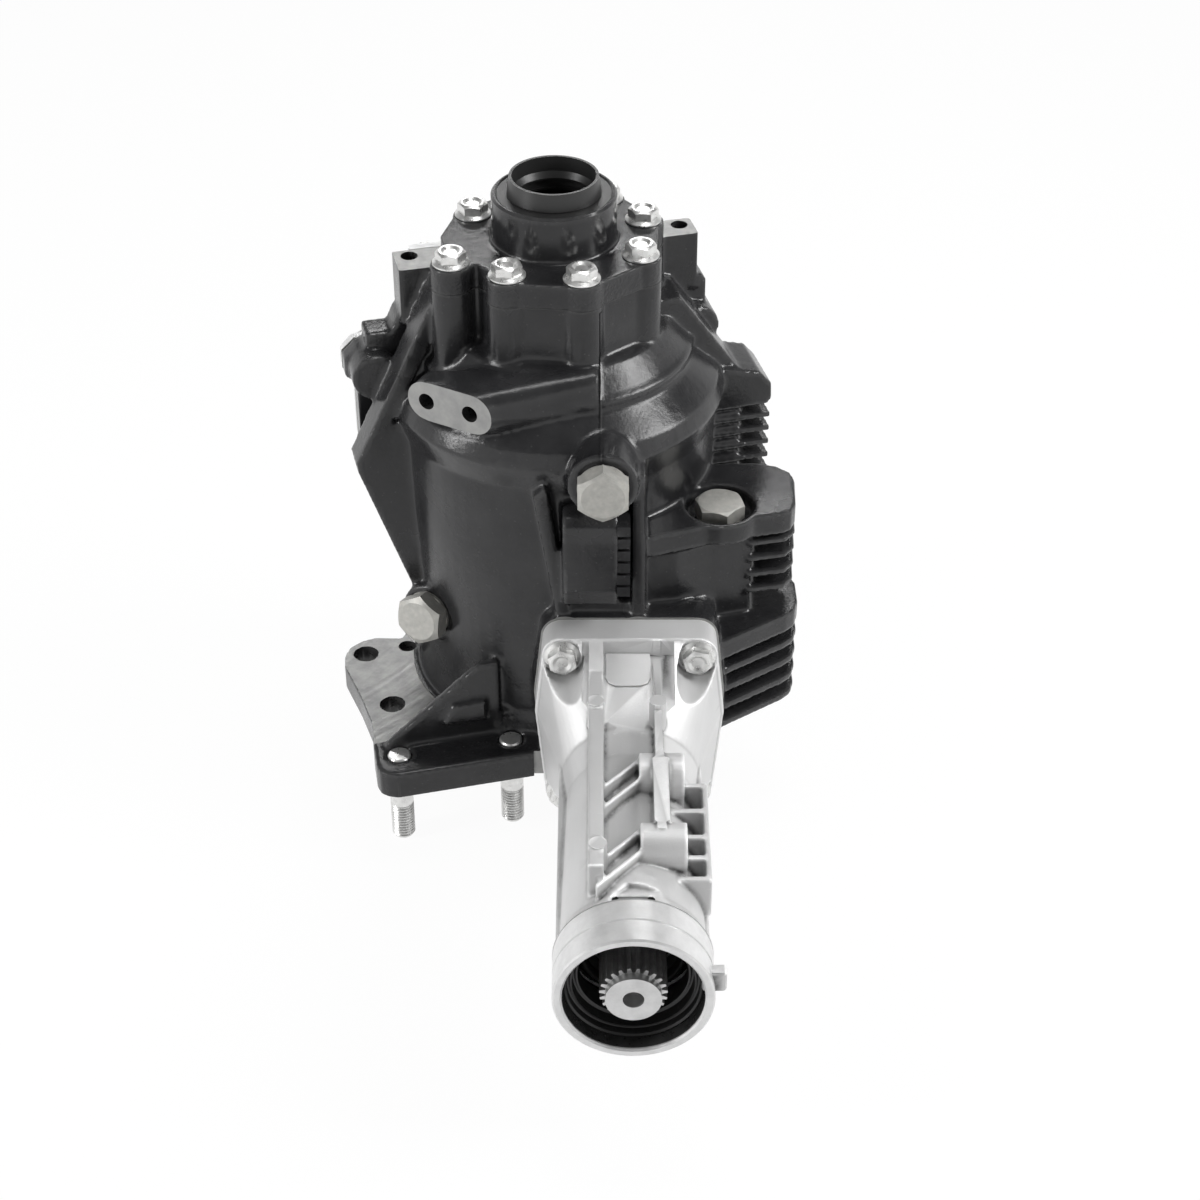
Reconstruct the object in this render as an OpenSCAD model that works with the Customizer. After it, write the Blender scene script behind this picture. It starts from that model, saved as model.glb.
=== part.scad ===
// Transfer case of a transverse all-wheel-drive gearbox: a cast bell with a hypoid gear pair,
// a side cover with the shaft seal, and a die-cast extension housing round the output spline.
// The origin is on the side-shaft axis, in the plane of the mating face. +Z runs up that axis
// to the side seal, and the output shaft points along -Y. All sizes are in millimetres.

/* [Main casting] */
// Turn of the main casting about the side-shaft axis, in degrees
case_turn = 14; // [8:1:18]
// Thickness of the mating plate
plate_t = 14; // [12:0.5:16]
// Height of the joint under the side cover
cover_seat_z = 251; // [247:1:256]
// Outer radius of the gear bell
bell_r = 78; // [76:0.5:80]
// Outer radius of the bell just above the mating plate
bell_foot_r = 73; // [72:0.5:76]
// Outer radius of the belly below the shoulder
belly_r = 84; // [82:0.5:87]
// Radius of the shoulder's rim
rim_r = 68; // [65:0.5:71]
// Radius of the neck between the bolt columns
neck_r = 46.5; // [44:0.5:48]
// Depth of the neck from the cover joint to the shoulder
column_h = 30; // [26:1:34]
// Drop from the shoulder's top to its rim
shoulder_drop = 11; // [8:1:14]
// Drop from the rim to the belly
belly_drop = 27; // [22:1:32]
// Radius of each bolt column and cover lobe
column_r = 10; // [9:0.5:11]
// Distance of the rear joint plane behind the shaft axis
rear_face_y = 26; // [24:0.5:29]
// Thickness of the casting's rear flange
rear_flange_t = 10; // [8:0.5:12]
// Height of the ledge below the rear opening
rear_ledge_z = 52; // [48:1:56]

/* [Mating plate] */
// Radius of the spigot that centres the case
spigot_r = 48; // [46:0.5:50]
// Height of the spigot below the mating face
spigot_h = 10; // [8:0.5:12]
// Radius of the mounting studs
stud_r = 6; // [5:0.5:7]
// Length of the studs below the mating face
stud_drop = 38; // [30:1:45]
// Radius of the larger holes in the wing
wing_hole_r = 6.5; // [5.5:0.25:7.5]
// Radius of the smaller hole in the wing
wing_small_hole_r = 4.5; // [3.5:0.25:5.5]
// Radius of the dowel pins
dowel_r = 5; // [4:0.5:6]
// Height that the dowel pins stand out
dowel_out = 9; // [6:0.5:12]

/* [Side cover] */
// Thickness of the cover's flange
cover_t = 12; // [10:0.5:14]
// Outer radius of the seal tube
tube_r = 30.25; // [29.75:0.25:32]
// Height of the seal tube above the flange
tube_h = 23.5; // [20:0.5:27]
// Circle that the cover bolts stand on, as a radius
cover_bolt_circle = 46; // [45:0.5:48]
// Radius of the side shaft's seal seat
side_seal_r = 27.5; // [26.5:0.25:28]
// Depth of the side seal
side_seal_t = 10; // [8:0.5:12]
// Thickness of the gaskets
gasket_t = 0.5; // [0.3:0.1:1]

/* [Shaft and gears] */
// Radius of the bore through the hollow input shaft
shaft_bore_r = 18; // [16:0.25:18.5]
// Radius of the input shaft between its bearings
shaft_r = 26; // [25:0.25:27]
// Length of the splined snout below the mating face
snout_drop = 28; // [24:1:32]
// Radius of the carrier hub
hub_r = 34; // [32:0.5:37]
// Inner radius of the ring gear's teeth
ring_face_r = 46; // [45:0.5:48]
// Thickness of the ring gear behind its pitch plane
ring_t = 13.5; // [12:0.5:16]
// Thickness of the carrier's flange
carrier_flange_t = 12; // [9:0.5:15]
// Teeth on the ring gear
ring_teeth = 36; // [36:12:36]
// Teeth on the pinion
pinion_teeth = 12; // [12:1:12]
// Height of the pinion's teeth above the pitch surface
addendum = 1.7; // [1.2:0.1:1.8]
// Height of the ring gear's teeth above the pitch surface
ring_addendum = 0.5; // [0.4:0.1:1]
// Depth of the teeth below the pitch surface
dedendum = 2.4; // [2.2:0.1:2.8]
// Play between the teeth
backlash = 0.65; // [0.4:0.05:0.8]

/* [Pinion line] */
// Offset of the pinion axis to the right of the shaft axis
pinion_x = 36.5; // [35.5:0.25:37.5]
// Height of the pinion axis above the mating face
pinion_z = 45.7; // [44.5:0.1:48]
// Distance from the shaft axis to the extension joint
joint_y = 88; // [87:0.5:91]
// Distance from the shaft axis to the middle of the pinion's teeth
mesh_y = 42; // [41:0.5:43]
// Length of the pinion's teeth
pinion_face = 20; // [16:0.5:22]
// Radius of the pinion shaft ahead of its nut
tail_r = 13; // [12:0.5:13.5]
// Outer radius of the output spline
spline_r = 15; // [14.5:0.25:15]
// Radius of the output shaft's plain nose
nose_r = 12.5; // [11.5:0.25:13]
// Teeth on the output spline
spline_teeth = 23; // [17:1:27]

/* [Extension housing] */
// Distance of the mouth from the extension joint
mouth_s = 207; // [200:1:214]
// Thickness of the extension's flange
ext_flange_t = 16; // [13:0.5:18]
// Half of the bolt spacing across the extension's flange
ext_bolt_x = 33; // [32:0.5:34]
// Half of the bolt spacing up the extension's flange
ext_bolt_z = 43.2; // [42:0.2:45]
// Radius of the flange's corners round the bolts
ext_corner_r = 10; // [9:0.5:11]
// Radius of the barrel behind the mouth's bands
barrel_r = 33; // [32:0.25:34]
// Radius of the barrel at its waist
waist_r = 30.5; // [29.5:0.25:31.5]
// Outer radius of the mouth
mouth_r = 35.75; // [35:0.25:37]
// Inner radius of the mouth
mouth_bore_r = 31.4; // [30.5:0.1:32]
// Width of each turned band at the mouth
band_w = 13; // [11:0.5:14]
// Radius of the two crosswise lugs on top
lug_r = 11; // [9:0.5:12]
// Width of the two crosswise lugs
lug_w = 21; // [18:0.5:24]
// Width of the flat-topped rib on the left
top_rib_w = 7; // [5:0.5:9]
// Width of the thin rib on the right
thin_rib_w = 3.5; // [3:0.25:5]

/* [Bearings] */
// Bore radius of the two shaft bearings
shaft_brg_bore_r = 22.5; // [22:0.25:23]
// Outer radius of the two shaft bearings
shaft_brg_r = 37.5; // [37:0.25:38]
// Width of the lower shaft bearing
lower_brg_t = 16; // [15:0.5:17]
// Width of the upper shaft bearing
upper_brg_t = 20; // [18:0.5:22]
// Bore radius of the inner pinion bearing
inner_brg_bore_r = 17.5; // [17:0.25:18]
// Outer radius of the inner pinion bearing
inner_brg_r = 36; // [35:0.25:36.5]
// Width of the inner pinion bearing
inner_brg_t = 18; // [16:0.5:19]
// Bore radius of the outer pinion bearing
outer_brg_bore_r = 15; // [15:0.25:15.5]
// Outer radius of the outer pinion bearing
outer_brg_r = 31; // [30:0.25:31.5]
// Width of the outer pinion bearing
outer_brg_t = 17; // [15:0.5:19]
// Tilt of the tapered rollers, in degrees
roller_tilt = 11; // [8:1:12]

/* [Fasteners and fins] */
// Radius of the M8 bolt shanks
bolt_r = 4; // [3:0.5:5]
// Radius of the bolt heads' flanges
bolt_flange_r = 8.9; // [8:0.1:9.5]
// Width across flats of the bolt heads
bolt_af = 13; // [11:0.5:14]
// Width across flats of the front and left plugs
plug_af = 24; // [22:0.5:26]
// Width across flats of the top plug
top_plug_af = 22; // [20:0.5:24]
// Radius of the plugs' threads
plug_r = 9; // [8:0.5:10]
// Radius of the threaded holes in the top bosses
boss_hole_r = 4.25; // [3.5:0.25:5]
// Radius of the threaded holes in the two-hole pad
pad_hole_r = 4.2; // [3.4:0.2:5]
// Distance between the pad's holes
pad_pitch = 24; // [22:0.5:26]
// Thickness of each cooling fin
fin_t = 3; // [2.5:0.25:4]

/* [Hidden] */

$fn = 96;
// Clearance of parts that are seated in each other
seat = 0.05;
// Clearance between a tapered roller and its races
roller_gap = 0.06;
// Overrun of a cut past the face that it opens
over = 1;
// How much thicker a pin's root is, which the casting holds, than its free length
held = 0.25;
// Length of a pin's tapered tip
tip = 1.5;

black_paint = [0.12, 0.12, 0.13];
bare_cast = [0.74, 0.75, 0.76];
zinc = [0.72, 0.72, 0.7];
bright_zinc = [0.86, 0.87, 0.88];
gear_steel = [0.46, 0.46, 0.48];
race_steel = [0.66, 0.67, 0.69];
rubber = [0.05, 0.05, 0.05];
gasket_grey = [0.28, 0.28, 0.27];
bronze = [0.62, 0.45, 0.22];

// Radii of the gear chamber and of the ring gear that runs in it
foot_wall = 7;
ring_gap = 3;
chamber_r = bell_foot_r - foot_wall;
ring_r = chamber_r - ring_gap;
ring_bolt_circle = ring_r - 9.5;
plate_r = joint_y - 2;

// Heights along the side-shaft axis
column_foot_z = cover_seat_z - column_h;
rim_z = column_foot_z - shoulder_drop;
belly_z = rim_z - belly_drop;
cover_under_z = cover_seat_z + gasket_t;
cover_top_z = cover_under_z + cover_t;
tube_rim_z = cover_top_z + tube_h;
pilot_h = 5;
shim_t = 3;
pilot_end_z = cover_seat_z - pilot_h;
upper_brg_top = pilot_end_z - shim_t;
upper_brg_z = upper_brg_top - upper_brg_t;
lower_brg_z = plate_t - lower_brg_t;
seal_ledge = 1;
input_seal_r = 30;
input_seal_t = lower_brg_z - seal_ledge + spigot_h;
rear_cut_top = belly_z + 7;
chamber_top = rear_cut_top - 14;
chamber_floor_z = plate_t - 1;

// Gear geometry: the ring gear's flat pitch plane rests on top of the pinion
mesh_r = sqrt(pinion_x * pinion_x + mesh_y * mesh_y);
mesh_angle = atan2(-mesh_y, pinion_x);
skew = atan2(pinion_x, mesh_y);
tooth_pitch = 2 * PI * mesh_r / ring_teeth;
pinion_pitch_r = pinion_teeth * tooth_pitch / cos(skew) / (2 * PI);
mesh_z = pinion_z + pinion_pitch_r;
pressure_angle = 20;
ring_back_z = mesh_z + ring_t;
carrier_top_z = ring_back_z + carrier_flange_t;

// Stations along the pinion axis, counted outwards from the extension joint
head_s = mesh_y - joint_y - pinion_face / 2;
head_end_s = head_s + pinion_face;
pilot_s = 5;
inner_brg_end = -pilot_s - 1;
inner_brg_s = inner_brg_end - inner_brg_t;
outer_brg_s = 30;
outer_brg_end = outer_brg_s + outer_brg_t;
nut_t = 12;
nut_r = 22;
bush_s = 140;
bush_t = 20;
bush_wall = 2;
yoke_r = 20;
bush_r = yoke_r + 0.1 + bush_wall;
mouth_depth = 33;
ext_seal_s = mouth_s - mouth_depth;
ext_seal_t = 10;
waist_s = 77;

cover_bolt_spots = [for (a = [151, -118, -73, -26, 21, 58, 105]) [cover_bolt_circle, a],
                    [cover_bolt_circle + 10, -150]];
head_h = 7;
head_flange_h = 1.8;
washer_t = 1.8;
plug_head_h = 9;
plug_shank = 12;

// Rear joint, as x and z in the casting's own frame
rear_foot_z = rear_ledge_z + gasket_t;
rear_outline = [[-chamber_r - 2, rear_foot_z], [-chamber_r - 8, rear_foot_z + 4], [-98, 150], [-98, belly_z + 3],
                [-103.5, belly_z + 7],
                [-103.5, rim_z - 10], [-97, rim_z - 4], [-67, rim_z - 4], [-67, cover_seat_z],
                [-47, cover_seat_z], [-47, rear_cut_top], [60, rear_cut_top], [64, rim_z + 2],
                [80, rim_z + 2], [85, rim_z - 5], [85, rim_z - 18], [82, belly_z + 1],
                [90, 150], [chamber_r + 19, rear_foot_z + 14], [chamber_r + 13, rear_foot_z]];
rear_bolt_spots = [[-90, belly_z + 13], [-86, 148], [-chamber_r - 12.5, 100], [-56, cover_seat_z - 9.5],
                   [74, belly_z + 19], [81, 150], [chamber_r + 12, 112], [chamber_r + 10, 72]];
rear_cover_t = 6;
dome_wall = 5;

module ring(r_out, r_in, h) {
  difference() {
    cylinder(r = r_out, h = h);
    translate([0, 0, -over]) cylinder(r = r_in, h = h + 2 * over);
  }
}

// Places a child in the casting's own frame
module turned() {
  rotate([0, 0, case_turn]) children();
}

// Extrudes an outline given as x and z, from depth y0 forwards to y1
module upright(y0, y1) {
  translate([0, y1, 0]) rotate([90, 0, 0]) linear_extrude(y1 - y0) children();
}

// Child frame on the pinion axis: x to the right, y up, z outwards from the extension joint
module along_pinion(s = 0) {
  translate([pinion_x, -joint_y - s, pinion_z]) rotate([90, 0, 0]) children();
}

// Flange-head bolt with its seat at z = 0 and its shank pointing down
module flange_bolt(shank) {
  cylinder(r = bolt_flange_r, h = head_flange_h);
  cylinder(d = bolt_af / cos(30), h = head_h, $fn = 6);
  translate([0, 0, -shank]) cylinder(r = bolt_r, h = shank + over);
}

// Hex plug with its sealing face at z = 0 and its thread pointing down
module hex_plug(af, head, turn) {
  translate([0, 0, washer_t]) rotate([0, 0, turn]) cylinder(d = af / cos(30), h = head, $fn = 6);
  translate([0, 0, -plug_shank]) cylinder(r = plug_r, h = plug_shank + washer_t + over);
}

module plug_washer(af) {
  translate([0, 0, seat]) ring(af / 2 + 0.3, plug_r + seat, washer_t - 2 * seat);
}

// Seats of the three plugs: front, left and top right
front_plug_x = 23.3;
front_plug_z = belly_z - 3.2;
front_face_y = belly_r + 9;
left_plug_angle = -119;
left_plug_tilt = 8;
left_face_r = 74.5;
left_plug_z = 64.9;
left_plug_foot = [-54.6, -19.8];
left_plug_reach = bell_foot_r - 48;
top_plug_at = [81, -52];
fin_deck_z = 143;
top_recess_r = 17.25;
top_recess_depth = 8;

module at_front_plug() {
  translate([front_plug_x, -front_face_y, front_plug_z]) rotate([90, 0, 0]) children();
}

module at_left_plug() {
  translate([left_plug_foot.x, left_plug_foot.y, left_plug_z]) rotate([0, 0, left_plug_angle])
    rotate([0, 90 - left_plug_tilt, 0]) translate([0, 0, left_plug_reach]) children();
}

module at_top_plug() {
  translate([top_plug_at.x, top_plug_at.y, fin_deck_z - top_recess_depth]) children();
}

// Two-hole pad: middle of its face, and the way the face looks
pad_angle = -119;
pad_at = [-50.2, -64.6, rim_z - 4];
pad_r = 10.5;
pad_back = 12;

module at_pad() {
  translate(pad_at) rotate([0, 0, pad_angle]) rotate([0, 90, 0]) children();
}

// Main casting, in pieces

module bell() {
  rotate_extrude($fn = 128)
    polygon([[0, 1], [bell_foot_r + 2, 1], [bell_foot_r + 2, plate_t + 4], [bell_foot_r, plate_t + 14],
             [bell_foot_r, 42], [bell_r, 126], [bell_r + 1, belly_z - 15], [belly_r - 1.5, belly_z - 5],
             [belly_r, belly_z], [belly_r - 3, belly_z + 8], [rim_r - 1.5, rim_z - 6],
             [rim_r, rim_z - 4], [rim_r, rim_z - 1.5], [rim_r - 2.5, rim_z],
             [cover_bolt_circle + column_r, column_foot_z], [neck_r - 1, column_foot_z + 2],
             [neck_r - 1, cover_seat_z - 3], [0, cover_seat_z - 3]]);
}

module bolt_columns() {
  translate([0, 0, rim_z - 6]) linear_extrude(cover_seat_z - rim_z + 6) {
    circle(r = neck_r, $fn = 128);
    cover_sweep(1.5);
    for (spot = cover_bolt_spots)
      rotate(spot[1]) translate([spot[0], 0]) circle(r = column_r);
    // Web that carries the outlying bolt
    rotate(-150) translate([20, -7]) square([cover_bolt_circle - 14, 14]);
  }
}

module mating_outline() {
  rotate(case_turn)
    polygon([[-115.5, 13], [-114, 22], [-110, 28.5], [-103, 32.6], [-95, 34], [-82, 30], [-60, 50],
             [-30, 70], [0, 60], [20, -60], [-18, -76.5], [-25, -81.5], [-30, -84.6], [-104, -84.6],
             [-108.5, -82.8], [-112, -79.4], [-113.2, -74], [-112, -58], [-109.5, -38], [-111.5, -15]]);
  circle(r = plate_r, $fn = 128);
  for (a = lug_angles) rotate(a) {
    translate([lug_hole_at, 0]) circle(r = 13);
    translate([60, -13]) square([lug_hole_at - 60, 26]);
  }
}

module mating_plate() {
  linear_extrude(plate_t) mating_outline();
  translate([0, 0, -spigot_h]) cylinder(r = spigot_r, h = spigot_h + over, $fn = 128);
}

ring_groove_w = 3.5;
ring_groove_z = -spigot_h + 1.5;
lug_angles = [-4, 62, 112];
lug_hole_at = plate_r + 4;
lug_hole_r = 6.5;
wing_holes = [[-102.6, 20.7], [-96.3, -25.8]];
wing_small_hole = [-79.7, 22.2];
stud_spots = [[-100.4, -68.6], [-42.3, -70]];
dowel_spots = [[-90, -50], [36, 66]];
dowel_hole = 10;

module rear_wall() {
  turned() {
    upright(rear_face_y - rear_flange_t, rear_face_y) polygon(rear_outline);
    // Raised wall with its steps at the top left and top right
    upright(10, rear_face_y)
      polygon([[-93, belly_z], [-93, rim_z + 6], [-80, rim_z + 6], [-77, column_foot_z + 3], [-50, column_foot_z + 3],
               [50, column_foot_z + 3], [61, column_foot_z + 3], [66, rim_z + 17], [78, rim_z + 17],
               [80, rim_z + 14], [80, rim_z], [74, belly_z], [60, belly_z - 30], [-60, belly_z - 30]]);
    translate([-90, rear_face_y, belly_z + 13]) rotate([90, 0, 0]) cylinder(r = 12, h = rear_face_y - 1);
    translate([74, rear_face_y, belly_z + 19]) rotate([90, 0, 0]) cylinder(r = 11, h = rear_face_y - 2);
    for (spot = rear_bolt_spots)
      translate([spot[0], rear_face_y, spot[1]]) rotate([90, 0, 0]) cylinder(r = 9, h = 20);
    // Bosses for the two threaded holes that face up
    translate([-75.5, 6, column_foot_z]) cube([28, rear_face_y - 6, column_h]);
    translate([50, 9, column_foot_z]) cube([25, rear_face_y - 9, column_h]);
  }
}

module side_ribs() {
  turned() {
    // Left web with its thick sloped edge
    upright(-8, -2) polygon([[-30, cover_seat_z - 8], [-60, cover_seat_z - 8], [-103, 156], [-79, 76], [-60, 76]]);
    upright(-14, 4) polygon([[-54, cover_seat_z - 0.5], [-60.5, cover_seat_z - 1.5], [-105, 156.5], [-103, 151],
                              [-97.5, 154], [-53, 246]]);
    upright(-14, 2) polygon([[-104.5, 153], [-102, 159], [-70, 163], [-70, 76], [-79, 76]]);
    // Right web, blended into the belly
    upright(-16, 10) polygon([[40, rim_z + 20], [60, rim_z + 20], [92, 184], [93, 176], [74, 132], [60, 120], [40, 160]]);
  }
}

module pad_arm() {
  hull() {
    at_pad() translate([0, 0, -pad_back]) linear_extrude(pad_back) {
      translate([0, -pad_pitch / 2]) circle(r = pad_r, $fn = 32);
      translate([0, pad_pitch / 2]) circle(r = pad_r, $fn = 32);
    }
    translate([16, -58, rim_z - 7]) rotate([0, 90, 0]) cylinder(r = 7, h = 5, $fn = 32);
    translate([16, -56, rim_z + 5]) rotate([0, 90, 0]) cylinder(r = 7, h = 5, $fn = 32);
  }
}

fin_pitch_small = 8;
fin_pitch_upper = 9.4;
fin_pitch_lower = 11.3;
lower_deck_z = 83;

// Chamfered block with its row of fins, high on the right
module rear_fins() {
  turned() {
    upright(-20, 12) polygon([[60, 188], [86, 188], [93, 186], [101, 184], [107, 177], [107.5, 168], [105, 165], [60, 165]]);
    upright(-18, 10) polygon([[60, 165], [91, 165], [91, 126], [60, 126]]);
    for (i = [1:5])
      translate([60, -20, 165 - i * fin_pitch_small]) cube([47, 32, fin_t]);
  }
}

upper_deck = [[40, -84], [75, -71], [97, -64], [112, -60.5], [116, -58], [118.5, -52], [119.5, -30], [117.5, -23],
              [111, -17], [100, -14], [60, -16], [40, -40]];
lower_deck = [[62, -87], [83, -86.4], [116, -63], [120.5, -58], [122.5, -50], [122, -34], [118, -27], [110, -20], [60, -10]];

module side_fins() {
  translate([0, 0, fin_deck_z - 12]) linear_extrude(12) polygon(upper_deck);
  translate([0, 0, lower_deck_z - 1]) linear_extrude(fin_deck_z - lower_deck_z - 6)
    polygon([[36, -78], [60, -74], [76, -66], [97, -60], [98, -24], [60, -16], [36, -20]]);
  for (i = [1:4])
    translate([0, 0, fin_deck_z - 12 - i * fin_pitch_upper + fin_t]) linear_extrude(fin_t)
      polygon([[90, -60], [97, -63], [114, -59], [119, -52], [120, -30], [115, -22], [90, -24]]);
  translate([0, 0, lower_deck_z - 11]) linear_extrude(11) polygon(lower_deck);
  for (i = [1:4])
    translate([0, 0, lower_deck_z - 10 - i * fin_pitch_lower]) linear_extrude(fin_t + 1) polygon(lower_deck);
  // Wall that the lower fins stand on
  translate([0, 0, lower_deck_z - 10 - 4 * fin_pitch_lower]) linear_extrude(4 * fin_pitch_lower)
    polygon([[50, -72], [84, -70], [104, -44], [104, -26], [60, -14]]);
}

module ext_outline(grow = 0) {
  hull() for (side = [-1, 1]) {
    translate([side * ext_bolt_x, ext_bolt_z]) circle(r = ext_corner_r + grow, $fn = 32);
    translate([side * (ext_bolt_x + 4), 8]) circle(r = ext_corner_r + grow, $fn = 32);
    translate([side * ext_bolt_x, -ext_bolt_z]) circle(r = ext_corner_r - 0.7 + grow, $fn = 32);
  }
}

case_flange_t = 15;

module pinion_housing() {
  along_pinion(-case_flange_t) linear_extrude(case_flange_t) ext_outline(1);
  hull() {
    along_pinion(-case_flange_t) linear_extrude(1) ext_outline(-1);
    translate([-24, -26, 2]) cube([100, 4, 112]);
  }
  // Front well: two upright ribs below the plug's boss
  translate([front_plug_x, -front_face_y, front_plug_z]) rotate([-90, 0, 0]) cylinder(r = 17, h = 40);
  upright(-joint_y + 1, -40) polygon([[-10, belly_z - 14], [-4, belly_z - 8], [8, 96], [1, 96]]);
  upright(-joint_y + 1, -40) polygon([[37, front_plug_z + 4], [43.5, front_plug_z + 2], [44, 96], [37.5, 96]]);
  upright(-joint_y + 13, -40) polygon([[-6, belly_z - 14], [4, belly_z + 4], [40, belly_z + 4], [40, 96], [2, 96]]);
  upright(-joint_y + 4, -40) polygon([[-2, 96], [44, 96], [44, 106], [1, 108]]);
}

module left_details() {
  // Round boss of the left plug
  at_left_plug() translate([0, 0, -26]) cylinder(r = 15.5, h = 26);
  turned() {
    // Flat front wall of the bell's foot, with a triangular gusset at its left
    translate([-58, -62, 2]) cube([24, 30, 25]);
    upright(-63, -58.5) polygon([[-106, plate_t - 1], [-106, plate_t + 3], [-56, 60], [-46, 60], [-46, plate_t - 1]]);
    upright(-66, -58) polygon([[-76, 27], [-71, 38], [-54, 39], [-54, 27]]);
  }
}

module case_body() {
  color(black_paint) difference() {
    union() {
      difference() {
        union() {
          bell();
          side_ribs();
          rear_wall();
          rear_fins();
          side_fins();
          pinion_housing();
          left_details();
        }
        // Nothing hangs below the mating face behind the front flange
        translate([-150, case_flange_t + 1 - joint_y, -50]) cube([300, 250, 50.5]);
        // Rear joint plane, from the ledge up to the shoulder
        turned() translate([0, rear_face_y, rear_ledge_z]) {
          translate([-150, 0, 0]) cube([300, 120, rear_cut_top - rear_ledge_z]);
          translate([-150, 0, 0]) cube([103, 120, 300]);
          translate([60, 0, 0]) cube([100, 120, 300]);
        }
      }
      bolt_columns();
      mating_plate();
      pad_arm();
    }
    // Room for the gears, and the bearing seats above and below it
    rotate_extrude($fn = 128)
      polygon([[0, chamber_floor_z], [chamber_r, chamber_floor_z], [chamber_r, chamber_top], [neck_r, rim_z - 3],
               [shaft_brg_r - 4, upper_brg_z - 3], [0, upper_brg_z - 3]]);
    translate([0, 0, upper_brg_z - 4]) cylinder(r = shaft_brg_r - 4, h = 5);
    translate([0, 0, upper_brg_z - seat]) cylinder(r = shaft_brg_r + seat, h = 60);
    translate([0, 0, lower_brg_z - seat]) cylinder(r = shaft_brg_r + seat, h = lower_brg_t + over);
    translate([0, 0, lower_brg_z - 3]) cylinder(r = shaft_r + 1, h = 4);
    translate([0, 0, -spigot_h - over]) cylinder(r = input_seal_r + seat, h = input_seal_t + over);
    // Groove for the spigot's ring
    translate([0, 0, ring_groove_z]) ring(spigot_r + over, spigot_r - ring_groove_w - seat, ring_groove_w);
    // Pinion bore: bearing seat, shoulder and the way through to the gear
    along_pinion(inner_brg_s - seat) cylinder(r = inner_brg_r + seat, h = joint_y);
    along_pinion(inner_brg_s - 8) cylinder(r = inner_brg_r - 5, h = 9);
    along_pinion(head_s - 4) cylinder(r = pinion_pitch_r + 5, h = inner_brg_s - 7 - head_s + 4);
    // Holes for the extension bolts
    for (x = [-ext_bolt_x, ext_bolt_x]) for (z = [-ext_bolt_z, ext_bolt_z])
      along_pinion(-ext_bolt_depth) translate([x, z, 0]) cylinder(r = bolt_r + seat, h = 60);
    // Holes for the cover bolts
    for (spot = cover_bolt_spots)
      rotate([0, 0, spot[1]]) translate([spot[0], 0, cover_seat_z - cover_bolt_depth])
        cylinder(r = bolt_r + seat, h = 60);
    turned() {
      for (spot = rear_bolt_spots)
        translate([spot[0], rear_face_y + over, spot[1]]) rotate([90, 0, 0])
          cylinder(r = bolt_r + seat, h = rear_bolt_depth + over);
      for (x = [-68, 68])
        translate([x, 20, cover_seat_z - 22]) cylinder(r = boss_hole_r, h = 30);
      for (spot = wing_holes)
        translate([spot[0], spot[1], -over]) cylinder(r = wing_hole_r, h = plate_t + 2 * over);
      translate([wing_small_hole[0], wing_small_hole[1], -over])
        cylinder(r = wing_small_hole_r, h = plate_t + 2 * over);
      for (spot = stud_spots)
        translate([spot[0], spot[1], -over]) cylinder(r = stud_r + held + seat, h = plate_t + 2 * over);
      for (spot = dowel_spots)
        translate([spot[0], spot[1], -over]) cylinder(r = dowel_r + held + seat, h = dowel_hole + over);
    }
    for (a = lug_angles)
      rotate([0, 0, a]) translate([lug_hole_at, 0, -over]) cylinder(r = lug_hole_r, h = plate_t + 2 * over);
    // Two-hole pad
    for (side = [-1, 1])
      at_pad() translate([0, side * pad_pitch / 2, -18]) cylinder(r = pad_hole_r, h = 18 + over);
    // Plug threads and the top plug's recess
    at_front_plug() translate([0, 0, -60]) cylinder(r = plug_r + seat, h = 60 + over);
    at_left_plug() {
      translate([0, 0, -50]) cylinder(r = plug_r + seat, h = 50 + over);
      cylinder(r = 15.5, h = 20);
    }
    at_top_plug() {
      cylinder(r = top_recess_r, h = 20);
      translate([0, 0, -plug_shank - 4]) cylinder(r = plug_r + seat, h = 40);
    }
  }
}

cover_bolt_depth = 22;
rear_bolt_depth = 18;
ext_bolt_depth = 20;

module rear_opening() {
  translate([0, 0, rear_ledge_z - over]) cylinder(r = chamber_r, h = chamber_top - rear_ledge_z + over, $fn = 128);
}

module rear_bolt_holes() {
  for (spot = rear_bolt_spots)
    translate([spot[0], rear_face_y + 40, spot[1]]) rotate([90, 0, 0]) cylinder(r = bolt_r + 0.5, h = 60);
}

// Clearance round the bolt columns
module neck_clearance() {
  translate([0, 0, rear_cut_top]) cylinder(r = cover_bolt_circle + column_r + 1.5, h = 100);
}

module rear_cover() {
  outer_r = chamber_r + dome_wall;
  color(bare_cast) turned() difference() {
    union() {
      upright(rear_face_y + gasket_t, rear_face_y + gasket_t + rear_cover_t) polygon(rear_outline);
      // Half-round dome that stands on the ledge
      intersection() {
        rotate_extrude($fn = 128)
          polygon([[0, rear_foot_z], [outer_r + 2, rear_foot_z], [outer_r + 2, rear_foot_z + 8],
                   [outer_r, rear_foot_z + 11], [outer_r, chamber_top + 3], [chamber_r, chamber_top + dome_wall + 3],
                   [0, chamber_top + dome_wall + 3]]);
        translate([-100, rear_face_y + gasket_t, 0]) cube([200, 100, 300]);
      }
      // Stiffening ribs up the dome
      for (a = [60, 90, 120])
        rotate([0, 0, a]) translate([chamber_r + 1, -2.5, rear_foot_z + 5])
          cube([dome_wall + 4, 5, chamber_top - rear_foot_z - 5]);
    }
    rear_opening();
    rear_bolt_holes();
    neck_clearance();
  }
}

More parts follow.
